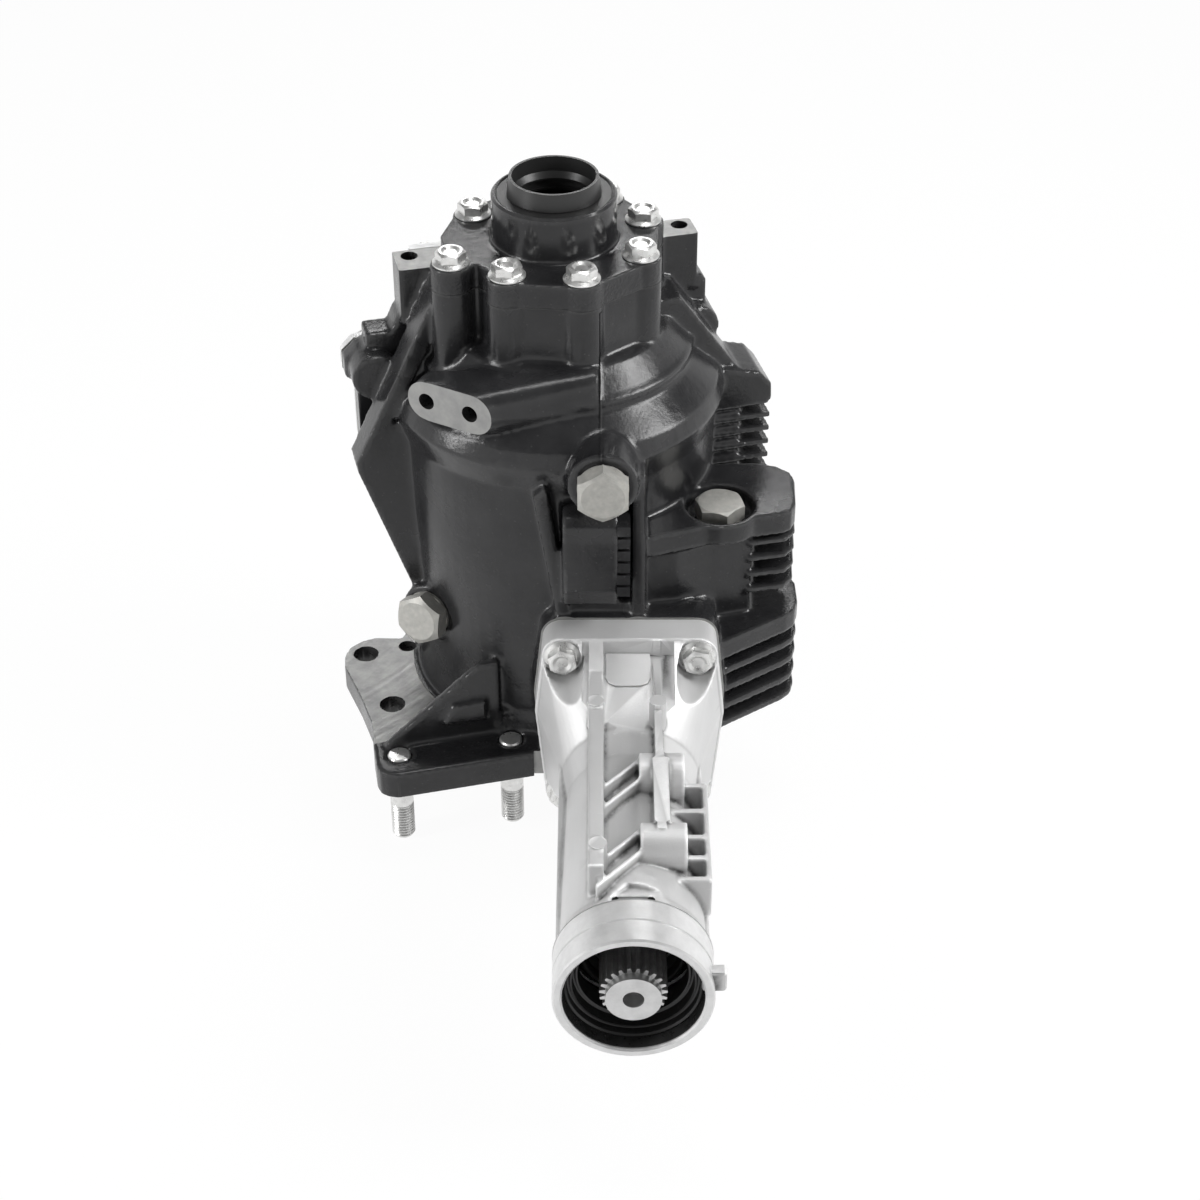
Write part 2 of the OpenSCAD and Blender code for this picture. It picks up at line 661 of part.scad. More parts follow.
module rear_cover_gasket() {
  color(gasket_grey) turned() {
    difference() {
      upright(rear_face_y, rear_face_y + gasket_t) polygon(rear_outline);
      rear_opening();
      rear_bolt_holes();
      neck_clearance();
    }
    // Strip on the ledge
    intersection() {
      translate([0, 0, rear_ledge_z]) ring(bell_foot_r - 0.5, chamber_r + 0.5, gasket_t);
      translate([-100, rear_face_y, 0]) cube([200, 100, 300]);
    }
  }
}

module rear_cover_bolts() {
  color(bright_zinc) turned() for (spot = rear_bolt_spots)
    translate([spot[0], rear_face_y + gasket_t + rear_cover_t + seat, spot[1]]) rotate([-90, 0, 0])
      flange_bolt(rear_cover_t + rear_bolt_depth - 2);
}

// Straight edges between the lobes, all the way round but for one notch at the left front
module cover_sweep(inset) {
  far = cover_bolt_circle + column_r - 1 - inset;
  polygon([[0, 0], for (v = [[0, -118], [0, -73], [0, -26], [-1, 21], [-1, 58], [-1, 105], [0, 151], [0, 180], [3, 210]])
    [(far + v[0]) * cos(v[1]), (far + v[0]) * sin(v[1])]]);
}

module cover_outline() {
  circle(r = neck_r, $fn = 96);
  cover_sweep(0);
  for (spot = cover_bolt_spots) rotate(spot[1]) {
    translate([spot[0], 0]) circle(r = column_r, $fn = 48);
    translate([20, -7]) square([spot[0] - 20, 14]);
  }
}

module side_cover() {
  color(black_paint) difference() {
    union() {
      translate([0, 0, cover_under_z]) linear_extrude(cover_t) cover_outline();
      translate([0, 0, cover_top_z - over]) cylinder(r = tube_r, h = tube_h + over, $fn = 96);
      translate([0, 0, pilot_end_z]) cylinder(r = shaft_brg_r - 0.05, h = cover_under_z - pilot_end_z + over, $fn = 96);
    }
    translate([0, 0, pilot_end_z - over]) cylinder(r = side_seal_r - 3, h = 80);
    translate([0, 0, tube_rim_z - side_seal_t]) cylinder(r = side_seal_r + seat, h = side_seal_t + over);
    for (spot = cover_bolt_spots)
      rotate([0, 0, spot[1]]) translate([spot[0], 0, cover_under_z - over])
        cylinder(r = bolt_r + 0.5, h = cover_t + 2 * over);
  }
}

module cover_gasket() {
  color(gasket_grey) translate([0, 0, cover_seat_z]) linear_extrude(gasket_t) difference() {
    cover_outline();
    circle(r = shaft_brg_r + 1, $fn = 96);
    for (spot = cover_bolt_spots) rotate(spot[1]) translate([spot[0], 0]) circle(r = bolt_r + 0.5);
  }
}

module cover_bolts() {
  color(bright_zinc) for (spot = cover_bolt_spots)
    rotate([0, 0, spot[1]]) translate([spot[0], 0, cover_top_z + seat])
      flange_bolt(cover_t + cover_bolt_depth - 2);
}

// Steel case of a shaft seal: an L-shaped ring with its flat face outwards
module seal_case(r_out, r_in, t) {
  rotate_extrude($fn = 96)
    polygon([[r_out, 0], [r_out, t], [r_in, t], [r_in, t - 1.6], [r_out - 1.6, t - 1.6], [r_out - 1.6, 0]]);
}

side_lip_r = shaft_bore_r + 0.3;
dust_lip_r = 21.5;
dust_lip_h = 8.5;

module side_seal_case() {
  color(rubber) translate([0, 0, tube_rim_z - side_seal_t]) seal_case(side_seal_r, 22.5, side_seal_t - 0.6);
}

module side_seal_lip() {
  color(rubber) translate([0, 0, tube_rim_z - side_seal_t]) rotate_extrude($fn = 96)
    polygon([[side_seal_r - 1.7, 0.3], [side_seal_r - 1.7, side_seal_t - 2.3], [22.4, side_seal_t - 2.3],
             [22.4, side_seal_t - 0.4], [dust_lip_r + 1.2, side_seal_t], [dust_lip_r, side_seal_t + dust_lip_h],
             [dust_lip_r - 1.4, side_seal_t + dust_lip_h], [20, side_seal_t + 1], [side_lip_r, side_seal_t - 2],
             [side_lip_r, side_seal_t - 3], [20.5, side_seal_t - 4], [20, 3.5], [side_lip_r, 3], [side_lip_r, 2],
             [21.5, 0.3]]);
}

module preload_shim() {
  color(race_steel) translate([0, 0, upper_brg_top + seat])
    ring(shaft_brg_r - seat, shaft_brg_r - 6, shim_t - 2 * seat);
}

module input_seal() {
  color(rubber) translate([0, 0, -spigot_h + 0.5]) rotate_extrude($fn = 96)
    polygon([[input_seal_r, 0], [input_seal_r, input_seal_t - 0.8], [input_seal_r - 2, input_seal_t - 0.8],
             [input_seal_r - 2, 1.6], [shaft_brg_bore_r + 0.8, 3], [shaft_brg_bore_r + 0.15, 2],
             [shaft_brg_bore_r + 0.8, 0]]);
}

module spigot_o_ring() {
  color(rubber) translate([0, 0, ring_groove_z + ring_groove_w / 2]) rotate_extrude($fn = 96)
    translate([spigot_r - ring_groove_w / 2 - seat, 0]) circle(r = ring_groove_w / 2 - seat, $fn = 24);
}

module mounting_studs() {
  color(bright_zinc) turned() for (spot = stud_spots) translate([spot[0], spot[1], -stud_drop]) {
    cylinder(r1 = stud_r - 1, r2 = stud_r, h = tip);
    translate([0, 0, tip]) cylinder(r = stud_r, h = stud_drop - tip + 1);
    translate([0, 0, stud_drop + seat]) cylinder(r = stud_r + held, h = plate_t + 0.8 - seat);
    translate([0, 0, stud_drop + plate_t + 0.8]) cylinder(r1 = stud_r + held, r2 = stud_r - 1, h = 0.7);
  }
}

module dowel_pins() {
  color(race_steel) turned() for (spot = dowel_spots) translate([spot[0], spot[1], -dowel_out]) {
    cylinder(r1 = dowel_r - 1, r2 = dowel_r, h = tip);
    translate([0, 0, tip]) cylinder(r = dowel_r, h = dowel_out - tip + 1);
    translate([0, 0, dowel_out + seat]) cylinder(r = dowel_r + held, h = dowel_hole - 1);
  }
}

module front_plug() {
  color(zinc) at_front_plug() hex_plug(plug_af, plug_head_h, 30);
}

module left_plug() {
  color(zinc) at_left_plug() hex_plug(plug_af, plug_head_h, 30);
}

module top_plug() {
  color(zinc) at_top_plug() hex_plug(top_plug_af, plug_head_h - 1, 15);
}

module plug_washers() {
  color(zinc) {
    at_front_plug() plug_washer(plug_af);
    at_left_plug() plug_washer(plug_af);
    at_top_plug() plug_washer(top_plug_af);
  }
}

// Extension housing, in the pinion's frame

lug_height = 31.5;
lug_x = 14;
lug_s = [94, 143];
top_rib_x = -16.5;
top_rib_y = 45;
top_rib_end = 170;
thin_rib_x = 13;
spigot_wall = 4;

module barrel() {
  rotate_extrude($fn = 96)
    polygon([[0, 4], [ext_bolt_x + 4, 4], [ext_bolt_x + 4, ext_flange_t + 2], [34.5, ext_flange_t + 28],
             [waist_r + 2, 62], [waist_r, waist_s], [barrel_r, mouth_s - 2 * band_w - 6],
             [mouth_r - 0.8, mouth_s - 2 * band_w], [mouth_r, mouth_s - 2 * band_w + 1], [mouth_r, mouth_s - band_w - 0.5],
             [mouth_r - 0.8, mouth_s - band_w - 0.2], [mouth_r - 0.8, mouth_s - band_w + 0.2],
             [mouth_r, mouth_s - band_w + 0.5], [mouth_r, mouth_s - 1], [mouth_r - 1, mouth_s], [0, mouth_s]]);
}

module lug(s) {
  translate([lug_x - lug_w / 2, lug_height, s]) rotate([0, 90, 0]) cylinder(r = lug_r, h = lug_w);
  translate([lug_x - lug_w / 2, 0, s - lug_r + 2]) cube([lug_w, lug_height, 2 * lug_r - 4]);
  // Open triangular gusset that runs back to the left rib
  for (leg = [0, 14])
    rotate([-90, 0, 0]) translate([0, 0, 20]) linear_extrude(lug_height - 14)
      polygon([[lug_x - lug_w / 2 + 1, -s + 5 - leg], [lug_x - lug_w / 2 + 1, -s + 8 - leg],
               [top_rib_x, -s - 16 - leg], [top_rib_x, -s - 19 - leg]]);
}

module extension_ribs() {
  translate([top_rib_x - top_rib_w / 2, 20, 2])
    cube([top_rib_w, top_rib_y - 20, top_rib_end - 2]);
  translate([thin_rib_x - thin_rib_w / 2, 20, 2]) cube([thin_rib_w, lug_height - 10 + lug_r, lug_s[1] - 2]);
  translate([thin_rib_x - 3, 20, lug_s[0]]) cube([7, lug_height - 17 + lug_r, 44]);
  // Round ejector pads
  for (spot = [[top_rib_x, 55], [thin_rib_x, 55], [top_rib_x + 1, 156]])
    translate([spot[0], 20, spot[1]]) rotate([-90, 0, 0]) cylinder(r = 4, h = top_rib_y - 19.2);
  // Parting ribs along both sides and below
  for (side = [-1, 1])
    translate([side * 32 - 2.5, -2.5, 20]) cube([5, 5, mouth_s - 2 * band_w - 22]);
  translate([-3, -36, 30]) cube([6, 12, mouth_s - 2 * band_w - 34]);
  // Crosswise box ribs on the right
  for (s = [92, 110, 128, 142, 156])
    translate([10, 6, s]) cube([25.5 - (s > 130 ? 1 : 0), 20, 3]);
  translate([33, 4, 92]) cube([2.5, 22, 67]);
  // Small tab beside the mouth
  translate([28, -2, mouth_s - 12]) cube([13, 14, 8]);
}

module extension_housing() {
  color(bare_cast) along_pinion() difference() {
    union() {
      translate([0, 0, gasket_t]) linear_extrude(ext_flange_t) ext_outline();
      hull() {
        translate([0, 0, ext_flange_t - 1]) linear_extrude(1) ext_outline(-1);
        translate([0, 0, ext_flange_t + 44]) cylinder(r = waist_r + 1, h = 1, $fn = 48);
      }
      barrel();
      translate([0, 0, -pilot_s]) cylinder(r = inner_brg_r - 0.05, h = pilot_s + 5);
      extension_ribs();
      for (s = lug_s) lug(s);
    }
    // Pockets round the bolt heads
    for (x = [-ext_bolt_x, ext_bolt_x]) for (y = [-ext_bolt_z, ext_bolt_z])
      translate([x, y, ext_flange_t + gasket_t]) {
        cylinder(r = bolt_flange_r + 1.6, h = 60);
        translate([0, y > 0 ? 0 : -20, 0]) translate([x > 0 ? 0 : -20, 0, 0]) cube([20, 20, 60]);
      }
    for (x = [-ext_bolt_x, ext_bolt_x]) for (y = [-ext_bolt_z, ext_bolt_z])
      translate([x, y, -over]) cylinder(r = bolt_r + 0.5, h = ext_flange_t + 3);
    // Bore: outer bearing seat, nut chamber, bush seat, seal seat and mouth
    translate([0, 0, -pilot_s - over]) cylinder(r = outer_brg_r + seat, h = outer_brg_end + pilot_s + over + seat);
    translate([0, 0, outer_brg_s]) cylinder(r = outer_brg_r - 4, h = outer_brg_t + 3);
    translate([0, 0, outer_brg_s]) cylinder(r = nut_r + 3, h = bush_s - outer_brg_s - 6);
    translate([0, 0, outer_brg_s]) cylinder(r = bush_r + seat, h = ext_seal_s);
    translate([0, 0, ext_seal_s - ext_seal_t]) cylinder(r = mouth_bore_r - 3 + seat, h = 60);
    translate([0, 0, ext_seal_s]) cylinder(r = mouth_bore_r, h = 60);
    // Cast recess on top, just behind the mouth's bands
    upper_recess();
  }
}

module upper_recess() {
  rotate([-90, 0, 0]) translate([0, 0, 30.5]) linear_extrude(20)
    polygon([[-10, -mouth_s + 2 * band_w + 1], [20, -mouth_s + 2 * band_w + 1], [20, -mouth_s + 2 * band_w + 9],
             [-2, -mouth_s + 2 * band_w + 13], [-10, -mouth_s + 2 * band_w + 6]]);
}

module extension_gasket() {
  color(gasket_grey) along_pinion() linear_extrude(gasket_t) difference() {
    ext_outline();
    circle(r = inner_brg_r + 0.5, $fn = 96);
    for (x = [-ext_bolt_x, ext_bolt_x]) for (y = [-ext_bolt_z, ext_bolt_z])
      translate([x, y]) circle(r = bolt_r + 0.5);
  }
}

module extension_bolts() {
  color(bright_zinc) along_pinion()
    for (x = [-ext_bolt_x, ext_bolt_x]) for (y = [-ext_bolt_z, ext_bolt_z])
      translate([x, y, ext_flange_t + gasket_t + seat]) flange_bolt(ext_flange_t + ext_bolt_depth - 2);
}

module extension_bush() {
  color(bronze) along_pinion(bush_s) ring(bush_r, yoke_r + 0.1, bush_t);
}

module extension_seal_case() {
  color(rubber) along_pinion(ext_seal_s - ext_seal_t) seal_case(mouth_bore_r - 3, 25, ext_seal_t - 0.5);
}

module extension_seal_lip() {
  color(rubber) along_pinion(ext_seal_s - ext_seal_t) rotate_extrude($fn = 96)
    polygon([[mouth_bore_r - 4.7, 0.4], [mouth_bore_r - 4.7, ext_seal_t - 2.2], [24.9, ext_seal_t - 2.2],
             [24.9, ext_seal_t], [23, ext_seal_t + 4], [21.6, ext_seal_t + 4], [22, ext_seal_t - 1],
             [yoke_r - 0.3, ext_seal_t - 4], [yoke_r - 0.3, ext_seal_t - 5], [23, ext_seal_t - 6], [23.5, 0.4]]);
}

// Gear set on the side-shaft axis

// Closed outline of a splined shaft
module spline_outline(r_out, r_root, teeth) {
  step = 360 / teeth;
  polygon([for (i = [0:teeth - 1]) for (p = [[r_root, -0.33], [r_out, -0.16], [r_out, 0.16], [r_root, 0.33]])
    [p[0] * sin((i + 0.5 + p[1]) * step), p[0] * cos((i + 0.5 + p[1]) * step)]]);
}

module input_shaft() {
  snout_teeth = 30;
  color(gear_steel) difference() {
    union() {
      translate([0, 0, -snout_drop]) linear_extrude(snout_drop - spigot_h - 1)
        spline_outline(shaft_brg_bore_r - 0.1, shaft_brg_bore_r - 1.7, snout_teeth);
      translate([0, 0, -spigot_h - 2]) cylinder(r = shaft_brg_bore_r, h = cover_top_z + spigot_h - 1, $fn = 96);
      translate([0, 0, plate_t + seat]) cylinder(r = shaft_r, h = upper_brg_z - plate_t - 2 * seat, $fn = 96);
    }
    translate([0, 0, -snout_drop - over]) cylinder(r = shaft_bore_r, h = 400, $fn = 96);
  }
}

module gear_carrier() {
  hub_top = chamber_top - 5;
  color(gear_steel) difference() {
    union() {
      translate([0, 0, ring_back_z]) cylinder(r = ring_r - 0.5, h = carrier_flange_t, $fn = 96);
      translate([0, 0, ring_back_z - 8]) cylinder(r = ring_face_r - 3 - seat, h = 9, $fn = 96);
      translate([0, 0, carrier_top_z]) cylinder(r1 = hub_r + 6, r2 = hub_r, h = 8, $fn = 96);
      translate([0, 0, carrier_top_z]) cylinder(r = hub_r, h = hub_top - carrier_top_z, $fn = 96);
    }
    translate([0, 0, ring_back_z - 10]) cylinder(r = shaft_r + seat, h = 300, $fn = 96);
    for (a = [0:45:315])
      rotate([0, 0, a]) translate([ring_bolt_circle, 0, ring_back_z - over]) cylinder(r = 5.3, h = 30);
  }
}

// Cross-section of a tooth space, or of a tooth, with its pitch line on the x axis
module tooth_outline(width, up, down) {
  slope = tan(pressure_angle);
  polygon([[-width / 2 - down * slope, -down], [width / 2 + down * slope, -down],
           [width / 2 - up * slope, up], [-width / 2 + up * slope, up]]);
}

module ring_gear() {
  space_w = (tooth_pitch + backlash) / 2;
  color(gear_steel) difference() {
    translate([0, 0, mesh_z - ring_addendum])
      ring(ring_r, ring_face_r - 3, ring_t + ring_addendum - seat, $fn = 128);
    translate([0, 0, mesh_z - ring_addendum - over]) cylinder(r = ring_face_r, h = ring_addendum + dedendum + over);
    for (i = [0:ring_teeth - 1])
      rotate([0, 0, mesh_angle + i * 360 / ring_teeth]) translate([ring_face_r - 2, 0, mesh_z])
        rotate([90, 0, 90]) linear_extrude(30) tooth_outline(space_w, dedendum, ring_addendum + 0.5);
    for (a = [0:45:315])
      rotate([0, 0, a]) translate([ring_bolt_circle, 0, mesh_z + dedendum + 1]) cylinder(r = 5 + seat, h = 30);
  }
}

module ring_gear_bolts() {
  reach = carrier_flange_t + ring_t - dedendum - 2;
  color(zinc) for (a = [0:45:315])
    rotate([0, 0, a]) translate([ring_bolt_circle, 0, carrier_top_z + seat]) {
      cylinder(d = 14 / cos(30), h = 6, $fn = 6);
      translate([0, 0, -reach]) cylinder(r = 5, h = reach + over);
    }
}

// Tapered roller bearing from z = 0 to its width, wide end at the top

function race_mid(r_in, r_out) = (r_in + r_out) / 2;
function roller_r(r_in, r_out) = (r_out - r_in) * 0.245;
function roller_count(r_in, r_out) =
  floor(2 * PI * race_mid(r_in, r_out) / (2 * roller_r(r_in, r_out) + 2.2));
function race_offset(r_in, r_out) = (roller_r(r_in, r_out) + roller_gap) / cos(roller_tilt);
function race_line(r_in, r_out, t, z) = race_mid(r_in, r_out) + (z - t / 2) * tan(roller_tilt);

module bearing_cup(r_in, r_out, t) {
  off = race_offset(r_in, r_out);
  rotate_extrude($fn = 96)
    polygon([[r_out, 0], [r_out, t], [race_line(r_in, r_out, t, t) + off, t],
             [race_line(r_in, r_out, t, 0) + off, 0]]);
}

module bearing_cone(r_in, r_out, t) {
  off = race_offset(r_in, r_out);
  rib = roller_r(r_in, r_out) * 0.5;
  half = roller_half(t) * cos(roller_tilt) + 0.9;
  low = t / 2 - half;
  high = t / 2 + half;
  rotate_extrude($fn = 96)
    polygon([[r_in, 0], [race_line(r_in, r_out, t, 0) - off + rib, 0], [race_line(r_in, r_out, t, 0) - off + rib, low - 0.8],
             [race_line(r_in, r_out, t, low) - off, low], [race_line(r_in, r_out, t, high) - off, high],
             [race_line(r_in, r_out, t, t) - off + rib, high + 0.8], [race_line(r_in, r_out, t, t) - off + rib, t],
             [r_in, t]]);
}

function roller_half(t) = t * 0.32;

module each_roller(r_in, r_out, t) {
  count = roller_count(r_in, r_out);
  for (i = [0:count - 1])
    rotate([0, 0, i * 360 / count]) translate([race_mid(r_in, r_out), 0, t / 2]) rotate([0, roller_tilt, 0])
      children();
}

module bearing_rollers(r_in, r_out, t) {
  each_roller(r_in, r_out, t)
    cylinder(r = roller_r(r_in, r_out), h = 2 * roller_half(t), center = true, $fn = 32);
}

module bearing_cage(r_in, r_out, t) {
  half = roller_half(t) * cos(roller_tilt) + 1.6;
  low = t / 2 - half;
  high = t / 2 + half;
  difference() {
    rotate_extrude($fn = 96)
      polygon([[race_line(r_in, r_out, t, low) - 0.7, low], [race_line(r_in, r_out, t, low) + 0.7, low],
               [race_line(r_in, r_out, t, high) + 0.7, high], [race_line(r_in, r_out, t, high) - 0.7, high]]);
    each_roller(r_in, r_out, t)
      cylinder(r = roller_r(r_in, r_out) + 0.2, h = 2 * roller_half(t) + 0.4, center = true, $fn = 32);
  }
}

lower_brg_turn = 5;

module at_lower_bearing() {
  translate([0, 0, lower_brg_z + lower_brg_t - seat]) mirror([0, 0, 1]) rotate([0, 0, lower_brg_turn]) children();
}

module at_upper_bearing() {
  translate([0, 0, upper_brg_z + seat]) children();
}

module at_inner_pinion_bearing() {
  along_pinion(inner_brg_end - seat) mirror([0, 0, 1]) children();
}

module at_outer_pinion_bearing() {
  along_pinion(outer_brg_s + seat) children();
}

module lower_bearing_cup() {
  color(race_steel) at_lower_bearing() bearing_cup(shaft_brg_bore_r + seat, shaft_brg_r, lower_brg_t - 2 * seat);
}

module lower_bearing_cone() {
  color(race_steel) at_lower_bearing() bearing_cone(shaft_brg_bore_r + seat, shaft_brg_r, lower_brg_t - 2 * seat);
}

module lower_bearing_rollers() {
  color(race_steel) at_lower_bearing() bearing_rollers(shaft_brg_bore_r + seat, shaft_brg_r, lower_brg_t - 2 * seat);
}

module lower_bearing_cage() {
  color(race_steel) at_lower_bearing() bearing_cage(shaft_brg_bore_r + seat, shaft_brg_r, lower_brg_t - 2 * seat);
}

module upper_bearing_cup() {
  color(race_steel) at_upper_bearing() bearing_cup(shaft_brg_bore_r + seat, shaft_brg_r, upper_brg_t - 2 * seat);
}

module upper_bearing_cone() {
  color(race_steel) at_upper_bearing() bearing_cone(shaft_brg_bore_r + seat, shaft_brg_r, upper_brg_t - 2 * seat);
}

module upper_bearing_rollers() {
  color(race_steel) at_upper_bearing() bearing_rollers(shaft_brg_bore_r + seat, shaft_brg_r, upper_brg_t - 2 * seat);
}

module upper_bearing_cage() {
  color(race_steel) at_upper_bearing() bearing_cage(shaft_brg_bore_r + seat, shaft_brg_r, upper_brg_t - 2 * seat);
}

module inner_pinion_cup() {
  color(race_steel) at_inner_pinion_bearing() bearing_cup(inner_brg_bore_r + seat, inner_brg_r, inner_brg_t - 2 * seat);
}

module inner_pinion_cone() {
  color(race_steel) at_inner_pinion_bearing() bearing_cone(inner_brg_bore_r + seat, inner_brg_r, inner_brg_t - 2 * seat);
}

module inner_pinion_rollers() {
  color(race_steel) at_inner_pinion_bearing()
    bearing_rollers(inner_brg_bore_r + seat, inner_brg_r, inner_brg_t - 2 * seat);
}

module inner_pinion_cage() {
  color(race_steel) at_inner_pinion_bearing() bearing_cage(inner_brg_bore_r + seat, inner_brg_r, inner_brg_t - 2 * seat);
}

module outer_pinion_cup() {
  color(race_steel) at_outer_pinion_bearing() bearing_cup(outer_brg_bore_r + seat, outer_brg_r, outer_brg_t - 2 * seat);
}

module outer_pinion_cone() {
  color(race_steel) at_outer_pinion_bearing() bearing_cone(outer_brg_bore_r + seat, outer_brg_r, outer_brg_t - 2 * seat);
}

module outer_pinion_rollers() {
  color(race_steel) at_outer_pinion_bearing()
    bearing_rollers(outer_brg_bore_r + seat, outer_brg_r, outer_brg_t - 2 * seat);
}

module outer_pinion_cage() {
  color(race_steel) at_outer_pinion_bearing() bearing_cage(outer_brg_bore_r + seat, outer_brg_r, outer_brg_t - 2 * seat);
}

// Pinion: skewed straight teeth on a shaft that ends in the output spline

module drive_pinion() {
  tooth_w = (tooth_pitch - backlash) / 2;
  root_r = pinion_pitch_r - dedendum;
  tip_r = pinion_pitch_r + addendum;
  tip_drop = 2.4;
  crown = pinion_face / 2 - 0.5;
  spline_len = 45;
  nose_len = 4;
  color(gear_steel) along_pinion() difference() {
    union() {
      translate([0, 0, head_s]) cylinder(r = root_r, h = pinion_face);
      intersection() {
        for (i = [0:pinion_teeth - 1])
          rotate([0, 0, i * 360 / pinion_teeth]) translate([0, pinion_pitch_r, head_s + pinion_face / 2])
            rotate([0, skew, 0]) translate([0, 0, -pinion_face]) linear_extrude(2 * pinion_face)
              tooth_outline(tooth_w, addendum, dedendum + 0.6);
        // Crowned tips, so that only the tooth in mesh reaches into the ring gear
        rotate_extrude()
          polygon([[0, head_s], [pinion_pitch_r - tip_drop, head_s], [tip_r, head_s + crown], [tip_r, head_end_s - crown],
                   [pinion_pitch_r - tip_drop, head_end_s], [0, head_end_s]]);
      }
      translate([0, 0, head_end_s - over]) cylinder(r1 = root_r, r2 = inner_brg_bore_r + 3, h = 6 + over);
      translate([0, 0, head_end_s]) cylinder(r = inner_brg_bore_r + 3, h = inner_brg_s - head_end_s);
      translate([0, 0, head_end_s]) cylinder(r = inner_brg_bore_r, h = inner_brg_end - head_end_s);
      translate([0, 0, head_end_s]) cylinder(r = outer_brg_bore_r, h = outer_brg_end + nut_t + 2 - head_end_s);
      translate([0, 0, 0]) cylinder(r = tail_r, h = mouth_s - spline_len - 1);
      translate([0, 0, mouth_s - spline_len - 4]) cylinder(r1 = tail_r, r2 = nose_r, h = 4);
      translate([0, 0, 0]) cylinder(r = nose_r, h = mouth_s);
      translate([0, 0, mouth_s - spline_len]) linear_extrude(spline_len - nose_len)
        spline_outline(spline_r, nose_r + 0.1, spline_teeth);
    }
    translate([0, 0, mouth_s - 14]) cylinder(r = 4.75, h = 20);
  }
}

module pinion_spacer() {
  color(race_steel) along_pinion(inner_brg_end + seat)
    ring(outer_brg_bore_r + 6, outer_brg_bore_r + seat, outer_brg_s - inner_brg_end - 2 * seat);
}

module pinion_lock_nut() {
  color(zinc) along_pinion(outer_brg_end + seat) difference() {
    union() {
      cylinder(d = 36 / cos(30), h = nut_t - 3, $fn = 6);
      cylinder(r = 17.5, h = nut_t);
      cylinder(r = 19.5, h = 2);
    }
    translate([0, 0, -over]) cylinder(r = outer_brg_bore_r + seat, h = nut_t + 2 * over);
  }
}

case_body();
rear_cover();
rear_cover_gasket();
rear_cover_bolts();
side_cover();
cover_gasket();
cover_bolts();
side_seal_case();
side_seal_lip();
preload_shim();
input_seal();
spigot_o_ring();
mounting_studs();
dowel_pins();
front_plug();
left_plug();
top_plug();
plug_washers();
extension_housing();
extension_gasket();
extension_bolts();
extension_bush();
extension_seal_case();
extension_seal_lip();
input_shaft();
gear_carrier();
ring_gear();
ring_gear_bolts();
lower_bearing_cup();
lower_bearing_cone();
lower_bearing_rollers();
lower_bearing_cage();
upper_bearing_cup();
upper_bearing_cone();
upper_bearing_rollers();
upper_bearing_cage();
drive_pinion();
pinion_spacer();
pinion_lock_nut();
inner_pinion_cup();
inner_pinion_cone();
inner_pinion_rollers();
inner_pinion_cage();
outer_pinion_cup();
outer_pinion_cone();
outer_pinion_rollers();
outer_pinion_cage();
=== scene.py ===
# %% [markdown]
# # A transfer case
# The object is the angle drive of an all-wheel-drive gearbox: a black painted cast bell, a bare die-cast
# extension, bright zinc bolts and dull hex plugs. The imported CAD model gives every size. This notebook
# loads it, dresses it, and replaces only the parts whose surface the CAD model leaves too plain.

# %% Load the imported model
import math

import bmesh
import bpy
from mathutils import Matrix, Vector


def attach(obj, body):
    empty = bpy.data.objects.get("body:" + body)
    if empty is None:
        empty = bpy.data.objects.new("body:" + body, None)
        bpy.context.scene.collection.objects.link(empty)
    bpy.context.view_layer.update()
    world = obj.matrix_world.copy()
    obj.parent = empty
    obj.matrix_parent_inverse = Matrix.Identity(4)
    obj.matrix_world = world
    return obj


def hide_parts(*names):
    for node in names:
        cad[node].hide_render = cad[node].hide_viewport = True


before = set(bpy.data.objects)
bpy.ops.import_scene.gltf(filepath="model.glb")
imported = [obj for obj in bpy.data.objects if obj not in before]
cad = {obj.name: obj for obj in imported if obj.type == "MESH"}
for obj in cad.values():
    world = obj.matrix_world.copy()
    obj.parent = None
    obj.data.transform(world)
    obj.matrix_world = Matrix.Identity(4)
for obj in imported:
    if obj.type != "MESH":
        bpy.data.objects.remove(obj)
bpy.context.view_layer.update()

# %% [markdown]
# ## Camera
# The photograph looks down on the part at 36 degrees with a long lens. A camera in Blender looks along
# its own -Z, so a turn of 54 degrees about X gives that view. The place was solved from the circles of
# the seal tube and the mouth.

# %% Camera
camera = bpy.data.objects.new("camera", bpy.data.cameras.new("camera"))
bpy.context.collection.objects.link(camera)
camera.data.lens = 72
camera.data.sensor_width = 36
camera.location = (0.0219, -1.03795, 0.80073)
camera.rotation_euler = (math.radians(54), 0, 0)
bpy.context.scene.camera = camera
bpy.context.scene.view_settings.view_transform = "Standard"
print("camera", tuple(camera.location))

# %% [markdown]
# ## Helpers for node trees
# A material is a small graph of nodes. Short helpers keep the graphs below readable: one adds a node and
# fills its sockets, one makes a node group with named sockets, one places a group, and one starts a
# material. The rest mix two colours, read an edge mask, and turn a height into a bump.


# %% Node helpers
def add(tree, kind, settings=None, **sockets):
    made = tree.nodes.new("ShaderNode" + kind)
    for key, value in (settings or {}).items():
        setattr(made, key, value)
    for key, value in sockets.items():
        socket = made.inputs[int(key[1:])] if key[1:].isdigit() else made.inputs[key.replace("_", " ")]
        if isinstance(value, bpy.types.NodeSocket):
            tree.links.new(value, socket)
        else:
            socket.default_value = value
    return made


